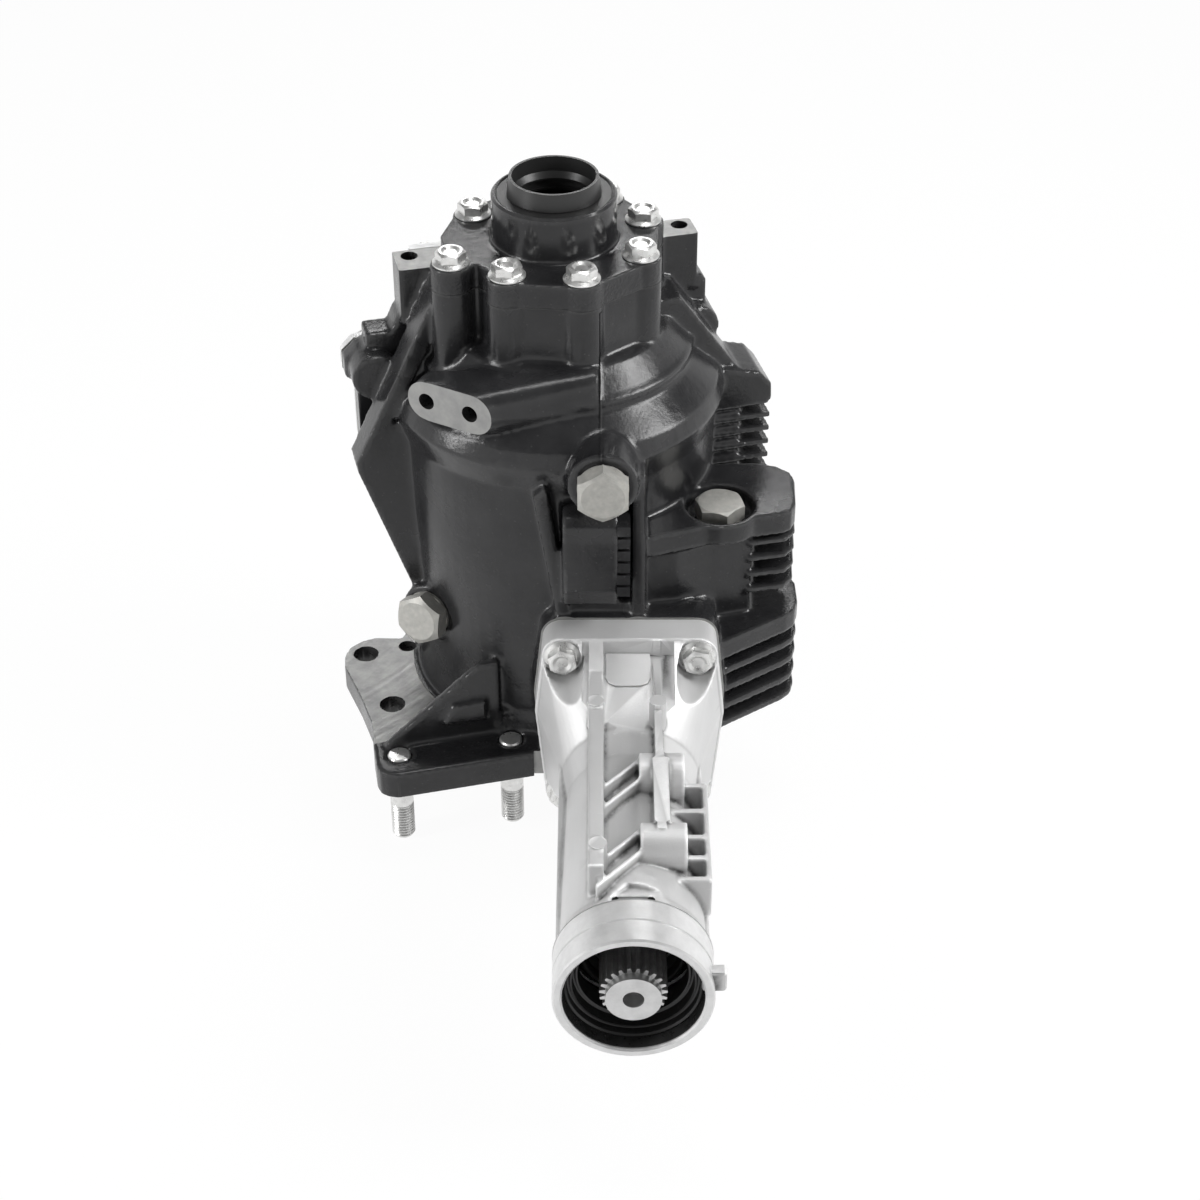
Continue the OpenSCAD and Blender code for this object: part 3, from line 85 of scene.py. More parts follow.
def effect(name, inputs, outputs):
    tree = bpy.data.node_groups.new(name, "ShaderNodeTree")
    tree.interface.new_socket("Vector", in_out="INPUT", socket_type="NodeSocketVector")
    for label, value in inputs.items():
        tree.interface.new_socket(label, in_out="INPUT", socket_type="NodeSocketFloat").default_value = value
    for label in outputs:
        tree.interface.new_socket(label, in_out="OUTPUT", socket_type="NodeSocketFloat")
    start = tree.nodes.new("NodeGroupInput")
    end = tree.nodes.new("NodeGroupOutput")
    return tree, start.outputs, end.inputs


def use(tree, group, vector, **values):
    made = tree.nodes.new("ShaderNodeGroup")
    made.node_tree = group
    tree.links.new(vector, made.inputs["Vector"])
    for key, value in values.items():
        made.inputs[key.replace("_", " ")].default_value = value
    return made.outputs


def start_material(name):
    material = bpy.data.materials.new(name)
    material.use_nodes = True
    tree = material.node_tree
    shader = tree.nodes["Principled BSDF"]
    place = add(tree, "TexCoord").outputs["Object"]
    return material, tree, shader, place


def grey(value):
    return (value, value, value, 1)


def mixed(tree, share, first, second):
    """A colour between two others"""
    return add(tree, "Mix", {"data_type": "RGBA"}, _0=share, _6=first, _7=second).outputs[2]


def mask(tree, name, share, breakup):
    """The piece's own edge or hollow attribute, broken up by a pattern"""
    own = add(tree, "Attribute", {"attribute_name": name})
    ragged = add(tree, "Math", {"operation": "MULTIPLY"}, _0=own.outputs["Fac"], _1=breakup)
    scaled = add(tree, "Math", {"operation": "MULTIPLY", "use_clamp": True}, _0=ragged.outputs[0], _1=share)
    return scaled.outputs[0]


def bump(tree, shader, height, strength, distance):
    made = add(tree, "Bump", Height=height, Strength=strength, Distance=distance)
    tree.links.new(made.outputs["Normal"], shader.inputs["Normal"])


print("node helpers ready")

# %% [markdown]
# ## Shared effects
# Four effects return in several finishes, so each is one node group. A cast skin is a coarse swell under
# a fine sandy grain. Turning and milling leave fine parallel rings. Zinc plating is cloudy and a little
# stained. Handling leaves thin scratches and specks. Every group gives plain masks and heights.

# %% Effect: cast skin
cast_skin, given, out = effect("cast_skin", {"Grain": 900.0, "Swell": 160.0}, ["Height", "Patch"])
swell = add(cast_skin, "TexNoise", Vector=given["Vector"], Scale=given["Swell"], Detail=3.0, Roughness=0.6)
grain = add(cast_skin, "TexNoise", Vector=given["Vector"], Scale=given["Grain"], Detail=4.0, Roughness=0.65)
patch = add(cast_skin, "TexNoise", Vector=given["Vector"], Scale=26.0, Detail=4.0, Roughness=0.6)
height = add(cast_skin, "Math", {"operation": "MULTIPLY_ADD"}, _0=swell.outputs[0], _1=1.6,
             _2=grain.outputs[0])
cast_skin.links.new(height.outputs[0], out["Height"])
cast_skin.links.new(patch.outputs[0], out["Patch"])
print("cast_skin:", len(cast_skin.nodes), "nodes")

# %% Effect: tool marks
tool_marks, given, out = effect("tool_marks", {"Lines": 900.0, "Wander": 0.6}, ["Height", "Band"])
wave = add(tool_marks, "TexWave", {"wave_type": "BANDS", "bands_direction": "X"}, Vector=given["Vector"],
           Scale=given["Lines"], Distortion=given["Wander"], Detail=2.0, Detail_Scale=0.5)
band = add(tool_marks, "TexNoise", Vector=given["Vector"], Scale=350.0, Detail=2.0)
tool_marks.links.new(wave.outputs["Fac"], out["Height"])
tool_marks.links.new(band.outputs[0], out["Band"])
print("tool_marks:", len(tool_marks.nodes), "nodes")

# %% Effect: zinc clouds
zinc_clouds, given, out = effect("zinc_clouds", {"Cloud": 220.0}, ["Tone", "Stain"])
cloud = add(zinc_clouds, "TexNoise", Vector=given["Vector"], Scale=given["Cloud"], Detail=5.0, Roughness=0.62)
stain = add(zinc_clouds, "TexVoronoi", {"feature": "SMOOTH_F1"}, Vector=given["Vector"], Scale=420.0)
tone = add(zinc_clouds, "MapRange", Value=cloud.outputs[0], From_Min=0.3, From_Max=0.7)
fleck = add(zinc_clouds, "MapRange", Value=stain.outputs["Distance"], From_Min=0.1, From_Max=0.55)
zinc_clouds.links.new(tone.outputs[0], out["Tone"])
zinc_clouds.links.new(fleck.outputs[0], out["Stain"])
print("zinc_clouds:", len(zinc_clouds.nodes), "nodes")

# %% Effect: handling marks
handling_marks, given, out = effect("handling_marks", {"Amount": 0.5}, ["Scratch", "Speck"])
stretch = add(handling_marks, "Mapping", Vector=given["Vector"], Rotation=(0.4, 0.9, 0.3),
              Scale=(1.0, 14.0, 5.0))
fibre = add(handling_marks, "TexNoise", Vector=stretch.outputs[0], Scale=90.0, Detail=3.0, Roughness=0.7)
thin = add(handling_marks, "MapRange", Value=fibre.outputs[0], From_Min=0.66, From_Max=0.72)
dots = add(handling_marks, "TexVoronoi", Vector=given["Vector"], Scale=260.0)
spot = add(handling_marks, "MapRange", Value=dots.outputs["Distance"], From_Min=0.14, From_Max=0.05)
amount = add(handling_marks, "Math", {"operation": "MULTIPLY"}, _0=thin.outputs[0], _1=given["Amount"])
specks = add(handling_marks, "Math", {"operation": "MULTIPLY"}, _0=spot.outputs[0], _1=given["Amount"])
handling_marks.links.new(amount.outputs[0], out["Scratch"])
handling_marks.links.new(specks.outputs[0], out["Speck"])
print("handling_marks:", len(handling_marks.nodes), "nodes")

# %% [markdown]
# ## Black paint on cast iron
# The paint is thin and satin. It follows the sandy skin, pools a little, shows pale dust in the pits and
# is lightened along the edges as a painted highlight. A picture of real paint could be wrapped on, but a
# recipe of noises needs no seams and works at any size. It serves three times: for the bell, nearly smooth
# for the turned seal tube, and coarse for the side cover's rim. The bump is kept small, because a strong one
# spreads every highlight into haze and makes the paint look matt.


# %% Black paint
DEEP_BLACK = (0.011, 0.011, 0.012, 1)
THIN_BLACK = (0.024, 0.024, 0.025, 1)


def black_paint(name, grain, depth, rough):
    material, tree, shader, place = start_material(name)
    skin = use(tree, cast_skin, place, Grain=grain)
    marks = use(tree, handling_marks, place, Amount=0.35)
    tone = add(tree, "ValToRGB", Fac=skin["Patch"])
    for stop, place_on_ramp, colour in zip(tone.color_ramp.elements, (0.3, 0.7), (DEEP_BLACK, THIN_BLACK)):
        stop.position, stop.color = place_on_ramp, colour
    dusty = mixed(tree, marks["Speck"], tone.outputs[0], grey(0.07))
    # Painted highlight: the edge mask lifts the black towards grey 0.08 along the edges.
    edge_highlight_and_wear = mixed(tree, mask(tree, "edge", 0.22, skin["Height"]), dusty, grey(0.08))
    tree.links.new(edge_highlight_and_wear, shader.inputs["Base Color"])
    gloss = add(tree, "MapRange", Value=skin["Patch"], From_Min=0.3, From_Max=0.7, To_Min=rough - 0.07,
                To_Max=rough + 0.09)
    tree.links.new(gloss.outputs[0], shader.inputs["Roughness"])
    shader.inputs["Specular IOR Level"].default_value = 0.4
    bump(tree, shader, skin["Height"], 0.6, depth)
    return material


paint = black_paint("black_paint", 620.0, 0.00016, 0.22)
smooth_paint = black_paint("smooth_black_paint", 500.0, 0.00003, 0.18)
coarse_paint = black_paint("coarse_black_paint", 520.0, 0.0006, 0.24)
print(paint.name, smooth_paint.name, coarse_paint.name)

# %% [markdown]
# ## Machined faces
# Where a cutter has been, bare iron or aluminium shows with fine tool lines. The colour is nearly even,
# and the light is broken up by the lines, so most of the look is in the bump and the roughness. A lathe
# or a mill leaves straight lines, or rings round the point where the cutter turned: with a centre given,
# the distance from it drives the same line pattern.


# %% Machined faces
def machined(name, dark, light, rough, lines, turn=(0, 0, 0), metal=1.0, depth=0.000012, centre=None):
    material, tree, shader, place = start_material(name)
    turned = add(tree, "Mapping", Vector=place, Rotation=turn)
    if centre:
        turned.inputs["Scale"].default_value = (1, 1, 0)
        turned.inputs["Location"].default_value = (-centre[0], -centre[1], 0)
        radius = add(tree, "VectorMath", {"operation": "LENGTH"}, _0=turned.outputs[0])
        turned = add(tree, "CombineXYZ", X=radius.outputs["Value"])
    lathe = use(tree, tool_marks, turned.outputs[0], Lines=lines)
    clouds = use(tree, zinc_clouds, place, Cloud=120.0)
    tree.links.new(mixed(tree, clouds["Tone"], dark + (1,), light + (1,)), shader.inputs["Base Color"])
    gloss = add(tree, "MapRange", Value=lathe["Band"], From_Min=0.3, From_Max=0.7, To_Min=rough - 0.06,
                To_Max=rough + 0.08)
    tree.links.new(gloss.outputs[0], shader.inputs["Roughness"])
    shader.inputs["Metallic"].default_value = metal
    bump(tree, shader, lathe["Height"], 0.5, depth)
    return material


CROSSWISE = (0, 0, 1.5708)
iron_face = machined("machined_iron", (0.24, 0.24, 0.24), (0.33, 0.33, 0.32), 0.44, 420.0, (0, 0, 0.9), 0.7)
milled_face = machined("milled_iron", (0.25, 0.25, 0.25), (0.38, 0.38, 0.37), 0.42, 75.0, metal=0.6,
                       depth=0.00012, centre=(-0.19, 0.06))
alu_face = machined("turned_aluminium", (0.62, 0.62, 0.62), (0.74, 0.74, 0.74), 0.38, 130.0, CROSSWISE, 0.6,
                    0.000004)
# Painted shade: bores, holes and threads get a near-black metal that stands in for the shade inside them.
shaded_bore = machined("painted_shade_bore", (0.05, 0.05, 0.05), (0.09, 0.09, 0.09), 0.30, 160.0, CROSSWISE, 0.6)
shaft_face = machined("ground_shaft", (0.50, 0.50, 0.50), (0.64, 0.64, 0.64), 0.34, 200.0, CROSSWISE, 0.8)
gear_face = machined("gear_steel", (0.34, 0.34, 0.35), (0.46, 0.46, 0.47), 0.34, 700.0, CROSSWISE)
race_face = machined("race_steel", (0.58, 0.59, 0.60), (0.68, 0.69, 0.70), 0.22, 900.0)
bronze_face = machined("bronze", (0.50, 0.34, 0.15), (0.62, 0.45, 0.22), 0.35, 700.0)
print("machined faces ready")

# %% [markdown]
# ## Bare die casting
# The extension comes straight from the die: silvery grey, smooth, with faint flow marks and a slightly
# darker skin than the turned bands of its mouth. Its hollow corners are darkened as painted shade, and its
# edges are lightened, partly as rubbed metal and partly as a painted highlight. Both follow the attributes
# that the casting recipe below writes on the mesh.

# %% Bare die casting
die_cast, tree, shader, place = start_material("bare_die_casting")
skin = use(tree, cast_skin, place, Grain=1300.0, Swell=120.0)
marks = use(tree, handling_marks, place, Amount=0.5)
tone = mixed(tree, skin["Patch"], grey(0.50), grey(0.64))
worn = mixed(tree, marks["Scratch"], tone, grey(0.74))
# Painted shade: the hollow mask darkens the corners towards grey 0.14.
hollow_shade = mixed(tree, mask(tree, "hollow", 0.9, skin["Height"]), worn, grey(0.14))
# Edges lightened towards grey 0.86: partly rubbed metal and partly a painted highlight.
edge_highlight_and_wear = mixed(tree, mask(tree, "edge", 0.7, skin["Height"]), hollow_shade, grey(0.86))
tree.links.new(edge_highlight_and_wear, shader.inputs["Base Color"])
gloss = add(tree, "MapRange", Value=skin["Patch"], From_Min=0.3, From_Max=0.7, To_Min=0.42, To_Max=0.54)
tree.links.new(gloss.outputs[0], shader.inputs["Roughness"])
shader.inputs["Metallic"].default_value = 0.4
bump(tree, shader, skin["Height"], 0.4, 0.00025)
print(die_cast.name)

# %% [markdown]
# ## Zinc plated fasteners
# The small flange bolts are bright and slightly cloudy. The large plugs have a matt, greyer plating with
# brown-grey flecks. One function gives both from the shared clouds.


# %% Zinc plating
def zinc(name, dark, light, rough, fleck, metal):
    material, tree, shader, place = start_material(name)
    clouds = use(tree, zinc_clouds, place, Cloud=260.0)
    tone = mixed(tree, clouds["Tone"], dark + (1,), light + (1,))
    spots = add(tree, "Math", {"operation": "MULTIPLY"}, _0=clouds["Stain"], _1=fleck)
    aged = mixed(tree, spots.outputs[0], tone, (0.30, 0.29, 0.27, 1))
    tree.links.new(aged, shader.inputs["Base Color"])
    gloss = add(tree, "MapRange", Value=clouds["Tone"], To_Min=rough, To_Max=rough + 0.14)
    tree.links.new(gloss.outputs[0], shader.inputs["Roughness"])
    shader.inputs["Metallic"].default_value = metal
    grain = use(tree, cast_skin, place, Grain=1600.0)
    bump(tree, shader, grain["Height"], 0.25, 0.00008)
    return material


bright_zinc = zinc("bright_zinc", (0.66, 0.66, 0.65), (0.82, 0.82, 0.81), 0.24, 0.10, 0.85)
dull_zinc = zinc("dull_zinc", (0.36, 0.36, 0.34), (0.50, 0.49, 0.46), 0.44, 0.25, 0.55)
print(bright_zinc.name, dull_zinc.name)

# %% [markdown]
# ## Rubber and gaskets
# Soft seals are nearly black with a low sheen. A gasket shows only as a thin line: grey paper at most
# joints, but dark and oily under the painted side cover.


# %% Soft materials
def soft(name, dark, light, rough, grain, depth):
    material, tree, shader, place = start_material(name)
    skin = use(tree, cast_skin, place, Grain=grain, Swell=300.0)
    tree.links.new(mixed(tree, skin["Patch"], dark + (1,), light + (1,)), shader.inputs["Base Color"])
    gloss = add(tree, "MapRange", Value=skin["Patch"], To_Min=rough - 0.08, To_Max=rough + 0.08)
    tree.links.new(gloss.outputs[0], shader.inputs["Roughness"])
    bump(tree, shader, skin["Height"], 0.3, depth)
    return material


rubber = soft("black_rubber", (0.012, 0.012, 0.012), (0.022, 0.022, 0.022), 0.38, 1500.0, 0.00008)
gasket = soft("gasket_paper", (0.16, 0.16, 0.15), (0.25, 0.25, 0.24), 0.80, 1800.0, 0.0001)
oily_gasket = soft("oily_gasket", (0.016, 0.016, 0.016), (0.03, 0.03, 0.03), 0.60, 1800.0, 0.0001)
print(rubber.name, gasket.name, oily_gasket.name)

# %% [markdown]
# ## Dress the CAD nodes
# A node whose shape is right stays as it is and only gets its finish. A table of words in the node names
# gives every node a slot, and one small table from slot to material dresses them all.

# %% Dress the CAD nodes
finish_of = {"black_casting": paint, "bare_casting": die_cast, "bright_zinc": bright_zinc,
             "dull_zinc": dull_zinc, "gasket": gasket, "black_rubber": rubber, "bronze": bronze_face,
             "race_steel": race_face, "gear_steel": gear_face}
by_word = {"gasket": "gasket", "seal": "black_rubber", "o_ring": "black_rubber", "bolts": "bright_zinc",
           "washers": "dull_zinc", "plug": "dull_zinc", "studs": "bright_zinc", "bush": "bronze",
           "cup": "race_steel", "cone": "race_steel", "rollers": "race_steel", "cage": "race_steel",
           "pins": "race_steel", "shim": "race_steel", "case_body": "black_casting",
           "side_cover": "black_casting", "extension_housing": "bare_casting", "rear_cover": "bare_casting"}
slot_of = {}
for name, obj in cad.items():
    slot_of[name] = next((slot for word, slot in by_word.items() if word in name), "gear_steel")
    obj.data.materials.clear()
    obj.data.materials.append(finish_of[slot_of[name]])
cad["drive_pinion"].data.materials[0] = shaft_face
cad["cover_gasket"].data.materials[0] = oily_gasket
print({slot: sum(1 for s in slot_of.values() if s == slot) for slot in finish_of})

# %% [markdown]
# ## Modelling helpers
# Pieces start from a `bmesh.ops.create_` shape or from a few vertices that an operator spins or extrudes.
# Sizes are written in millimetres, as on a drawing, and scaled to metres once, when the piece is placed.

# %% Modelling helpers
TO_METRES = Matrix.Scale(0.001, 4)
TO_MM = Matrix.Scale(1000, 4)
UPRIGHT = Matrix.Rotation(math.radians(90), 4, "X")
CASE = Matrix.Rotation(math.radians(14), 4, "Z")


def at(x, y, z):
    return Matrix.Translation((x, y, z))


def about_z(degrees):
    return Matrix.Rotation(math.radians(degrees), 4, "Z")


def spun(profile, place=Matrix(), steps=96):
    """A closed ring or disc: the (radius, height) profile is spun once about z"""
    bm = bmesh.new()
    verts = [bm.verts.new((r, 0, z)) for r, z in profile]
    edges = [bm.edges.new((a, b)) for a, b in zip(verts, verts[1:] + verts[:1])]
    bmesh.ops.spin(bm, geom=verts + edges, cent=(0, 0, 0), axis=(0, 0, 1), angle=2 * math.pi, steps=steps,
                   use_merge=True)
    bmesh.ops.remove_doubles(bm, verts=bm.verts, dist=1e-4)
    bmesh.ops.dissolve_degenerate(bm, edges=bm.edges, dist=1e-5)
    bmesh.ops.recalc_face_normals(bm, faces=bm.faces)
    bm.transform(place)
    return bm


def rod(radius, low, high, place=Matrix(), sides=48, top=None):
    """A round bar along z, or with top= a tapered one"""
    bm = bmesh.new()
    bmesh.ops.create_cone(bm, cap_ends=True, segments=sides, radius1=radius, radius2=top or radius,
                          depth=high - low, matrix=at(0, 0, (low + high) / 2))
    bm.transform(place)
    return bm


def block(low, high, place=Matrix()):
    bm = bmesh.new()
    size = Vector(high) - Vector(low)
    centre = (Vector(high) + Vector(low)) / 2
    bmesh.ops.create_cube(bm, size=1, matrix=at(*centre) @ Matrix.Diagonal((*size, 1)))
    bm.transform(place)
    return bm


def prism(outline, low, high, place=Matrix()):
    """An outline in x and y, extruded along z"""
    bm = bmesh.new()
    face = bm.faces.new([bm.verts.new((x, y, low)) for x, y in outline])
    grown = bmesh.ops.extrude_face_region(bm, geom=[face])
    lifted = [v for v in grown["geom"] if isinstance(v, bmesh.types.BMVert)]
    bmesh.ops.translate(bm, vec=(0, 0, high - low), verts=lifted)
    bmesh.ops.recalc_face_normals(bm, faces=bm.faces)
    bm.transform(place)
    return bm


def together(*parts):
    """Collects several bmeshes in one"""
    whole = bmesh.new()
    for part in parts:
        mesh = bpy.data.meshes.new("part")
        part.to_mesh(mesh)
        part.free()
        whole.from_mesh(mesh)
        bpy.data.meshes.remove(mesh)
    return whole


def raw(name, bm, *materials):
    """Turns a bmesh in millimetres into an object in metres"""
    bmesh.ops.triangulate(bm, faces=[f for f in bm.faces if len(f.verts) > 4])
    bm.transform(TO_METRES)
    mesh = bpy.data.meshes.new(name)
    bm.to_mesh(mesh)
    bm.free()
    for material in materials:
        mesh.materials.append(material)
    obj = bpy.data.objects.new(name, mesh)
    bpy.context.collection.objects.link(obj)
    return obj


def bake_modifiers(obj):
    made = bpy.data.meshes.new_from_object(obj.evaluated_get(bpy.context.evaluated_depsgraph_get()))
    old = obj.data
    obj.modifiers.clear()
    obj.data = made
    bpy.data.meshes.remove(old)


def shade(obj, angle=28):
    obj.data.shade_smooth()
    obj.data.set_sharp_from_angle(angle=math.radians(angle))


print("shaping helpers ready")

# %% [markdown]
# ## Edge and hollow masks
# Painted highlight and some wear sit on edges, and painted shade in corners. Blender's Pointiness would find
# both, but the export can't keep it, so the script measures them itself: a vertex that stands above the middle
# of its neighbours is on an edge, one that lies below is in a hollow. Vertices with a long edge belong to flat
# machined faces and are left plain, because a mask would smear across the whole face.

# %% Edge and hollow masks
LONG_EDGE = 0.005


def averaged(v, values):
    """A value spread over a vertex and its neighbours"""
    around = [values[e.other_vert(v)] for e in v.link_edges]
    return (values[v] + sum(around)) / (1 + len(around))


def mark_folds(obj, reach):
    """Writes how far each vertex stands out of its surroundings, or lies in them, as two attributes"""
    bm = bmesh.new()
    bm.from_mesh(obj.data)
    bm.normal_update()
    turn = {}
    plain = {v for v in bm.verts if max((e.calc_length() for e in v.link_edges), default=0) > LONG_EDGE}
    for v in bm.verts:
        edges = v.link_edges
        length = sum(e.calc_length() for e in edges) / max(len(edges), 1)
        middle = sum((e.other_vert(v).co for e in edges), Vector()) / max(len(edges), 1)
        turn[v] = (v.co - middle).dot(v.normal) / max(length, 1e-6)
    for _ in range(3):
        turn = {v: averaged(v, turn) for v in bm.verts}
    values = [0.0 if v in plain else turn[v] / reach for v in bm.verts]
    bm.free()
    for name, sign in (("edge", 1), ("hollow", -1)):
        layer = obj.data.attributes.new(name, "FLOAT", "POINT")
        layer.data.foreach_set("value", [min(max(sign * value, 0.0), 1.0) for value in values])


def finished(obj, body="case", stands_for=(), folds=0.0):
    """The last step of every piece: shading, edge masks, body and the CAD nodes it stands for"""
    shade(obj)
    if folds:
        mark_folds(obj, folds)
    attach(obj, body)
    if stands_for:
        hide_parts(*stands_for)
    tris = sum(len(p.vertices) - 2 for p in obj.data.polygons)
    print(f"{obj.name}: {tris} triangles")


def cut(obj, tool, material=None, operation="DIFFERENCE"):
    """One pass of a cutter. The cut faces take the cutter's material, as a machined face does."""
    tool = raw("cutter", tool, *([material] if material else []))
    modifier = obj.modifiers.new("cut", "BOOLEAN")
    modifier.operation = operation
    modifier.solver = "MANIFOLD"
    modifier.material_mode = "TRANSFER" if material else "INDEX"
    modifier.object = tool
    bake_modifiers(obj)
    bpy.data.objects.remove(tool)


print("mask and cutting helpers ready")

# %% [markdown]
# ## From a CAD solid to a casting
# A real casting has no sharp edges: sand and molten metal round them all. The recipe follows the foundry.
# A welded copy of the CAD solid gets a little extra metal on every face that is to be machined. A voxel
# remesh fuses it into one skin, smoothing rounds its edges and fills its corners, and the machined faces
# and bores are then cut again, crisp, in the metal's own finish.


# %% Casting helpers
def pattern(name):
    """A welded copy of a CAD node, in millimetres"""
    bm = bmesh.new()
    bm.from_mesh(cad[name].data)
    bm.transform(TO_MM)
    bmesh.ops.remove_doubles(bm, verts=bm.verts, dist=1e-3)
    return bm


def allow(bm, point, normal, extra):
    """Machining allowance: moves the vertices that lie on a plane outwards"""
    point, normal = Vector(point), Vector(normal).normalized()
    flat = [v for v in bm.verts if abs((v.co - point).dot(normal)) < 0.01]
    bmesh.ops.translate(bm, vec=normal * extra, verts=flat)
    return len(flat)


def relax(bm, verts, rounds):
    for _ in range(rounds):
        bmesh.ops.smooth_vert(bm, verts=verts, factor=0.5, use_axis_x=True, use_axis_y=True, use_axis_z=True)


def soften(bm, rounds, fillet_rounds, sharpness):
    """Rounds every edge a little, and hollow corners more"""
    relax(bm, bm.verts, rounds)
    bm.normal_update()
    hollow = set()
    for v in bm.verts:
        around = [e.other_vert(v).co for e in v.link_edges]
        middle = sum(around, Vector()) / len(around)
        if (middle - v.co).dot(v.normal) > sharpness:
            hollow.add(v)
    for _ in range(2):
        hollow |= {e.other_vert(v) for v in hollow for e in v.link_edges}
    relax(bm, list(hollow), fillet_rounds)
    return len(hollow)


def cast(name, bm, voxel, rounds, fillet_rounds, most, *materials):
    obj = raw(name, bm, *materials)
    remesh = obj.modifiers.new("fuse", "REMESH")
    remesh.mode = "VOXEL"
    remesh.voxel_size = voxel / 1000
    bake_modifiers(obj)
    bm = bmesh.new()
    bm.from_mesh(obj.data)
    bm.transform(TO_MM)
    hollow = soften(bm, rounds, fillet_rounds, 0.05 * voxel)
    bm.transform(TO_METRES)
    bm.to_mesh(obj.data)
    count = len(bm.faces) * 2
    bm.free()
    if count > most:
        thin = obj.modifiers.new("thin", "DECIMATE")
        thin.ratio = most / count
        bake_modifiers(obj)
    print(f"{name}: {count} triangles after the remesh, {hollow} vertices in hollow corners")
    return obj


print("casting helpers ready")

# %% [markdown]
# ## The main casting
# The largest piece. Allowance goes on the cover seat, the mating face, the extension joint, the two-hole
# pad and the plate of the wing. Three small forms that the CAD solid leaves plain are added before the
# remesh, so that they melt into the skin: the foot of the left web, the block below the front plug, and
# the wall round the top plug's recess.

# %% Main casting: pattern and skin
COVER_SEAT = 251
MATING_FACE = 0
JOINT_FACE = -88
PLATE_TOP = 14
FAR = 150
PAD = at(-50.2, -64.6, 206) @ about_z(-119) @ Matrix.Rotation(math.radians(90), 4, "Y")
body = pattern("case_body")
pad_normal = PAD.to_3x3() @ Vector((0, 0, 1))
moved = [allow(body, (0, 0, COVER_SEAT), (0, 0, 1), 1.5), allow(body, (0, 0, MATING_FACE), (0, 0, -1), 1.5),
         allow(body, (0, JOINT_FACE, 0), (0, -1, 0), 1.5), allow(body, PAD.translation, pad_normal, 1.5),
         allow(body, (0, 0, PLATE_TOP), (0, 0, 1), 0.9)]
print("vertices with allowance:", moved)
foot_outline = [(-103.5, 152), (-96, 172), (-80, 180), (-68, 165), (-72, 110), (-82, 100)]
web_foot = prism(foot_outline, -2, 14, CASE @ UPRIGHT)
BLOCK = Matrix(((0, 0, 1, 0), (1, 0, 0, 0), (0, 1, 0, 0), (0, 0, 0, 1)))
block_outline = [(-70, 106), (-91, 110), (-97, 122), (-99.5, 136), (-99.5, 152), (-97.5, 160), (-93, 163),
                 (-70, 163)]
front_block = prism(block_outline, 4, 30.5, BLOCK)
recess_wall = spun([(17.2, 132), (20.5, 132), (20.5, 143), (17.2, 143)], at(81, -52, 0), 64)
casting = cast("main_casting", together(body, web_foot, front_block, recess_wall), 1.15, 2, 8, 190000, paint)

# %% [markdown]
# ## Parting ridge and flash
# Where the two halves of the sand mould met, metal creeps into the gap and leaves a fine ridge down the
# front. A strip laid on top would float over the curves, so the ridge is a thin slice of the casting's
# own skin, lifted by half a millimetre. The block's side keeps a ladder of flash from its core.


# %% Main casting: parting ridge
def parting_ridge(obj, low, high, lift, material):
    """Lifts a thin slice of the casting's own skin, as the seam between two mould halves does"""
    ridge = obj.copy()
    ridge.data = obj.data.copy()
    bpy.context.collection.objects.link(ridge)
    cut(ridge, block(low, high), operation="INTERSECT")
    bm = bmesh.new()
    bm.from_mesh(ridge.data)
    bm.transform(at(*lift) @ TO_MM)
    bpy.data.objects.remove(ridge)
    cut(obj, bm, material, "UNION")


parting_ridge(casting, (22.1, -120, 194), (22.9, -30, 248), (0, -0.7, 0.5), paint)
flash = [block((30, -98.2, z), (36.4, -84, z + 5.4)) for z in range(120, 160, 7)]
cut(casting, together(block((30, -96.4, 119), (35.4, -84, 161)), *flash), paint, "UNION")
print("parting ridge and", len(flash), "steps of flash")

# %% [markdown]
# ## Machined faces and bores of the casting
# The allowance now comes off again with plain cutters: blocks, a ring and a prism, one per set-up on the
# milling machine. The Boolean gives each cut face the cutter's material, so bare metal appears exactly
# where a tool has been. The wing is milled only outside the foot of the bell, as in the photograph.

# %% Main casting: machined faces
cut(casting, block((-FAR, -FAR, COVER_SEAT), (FAR, FAR, 260)), iron_face)
cut(casting, spun([(48, -15), (260, -15), (260, MATING_FACE), (48, MATING_FACE)]), iron_face)
cut(casting, block((-12, -100, -12), (90, JOINT_FACE, 101)), iron_face)
cut(casting, block((-11.5, -24, 0), (11.5, 24, 6), PAD), iron_face)
foot = [(79 * math.cos(math.radians(a)), 79 * math.sin(math.radians(a))) for a in range(154, 223, 3)]
wing_outline = foot + [(-57.5, -56.8), (-120, -56.8), (-120, 36)]
cut(casting, prism(wing_outline, PLATE_TOP, 15.6, CASE), milled_face)
rear_steps = [((-FAR, 26, 52), (FAR, FAR, 190)), ((-FAR, 26, 52), (-47, FAR, 300)),
              ((60, 26, 52), (160, FAR, 300))]
for low, high in rear_steps:
    cut(casting, block(low, high, CASE), iron_face)
print("seat, mating face, joint, pad, wing and", len(rear_steps), "steps of the rear joint are cut")

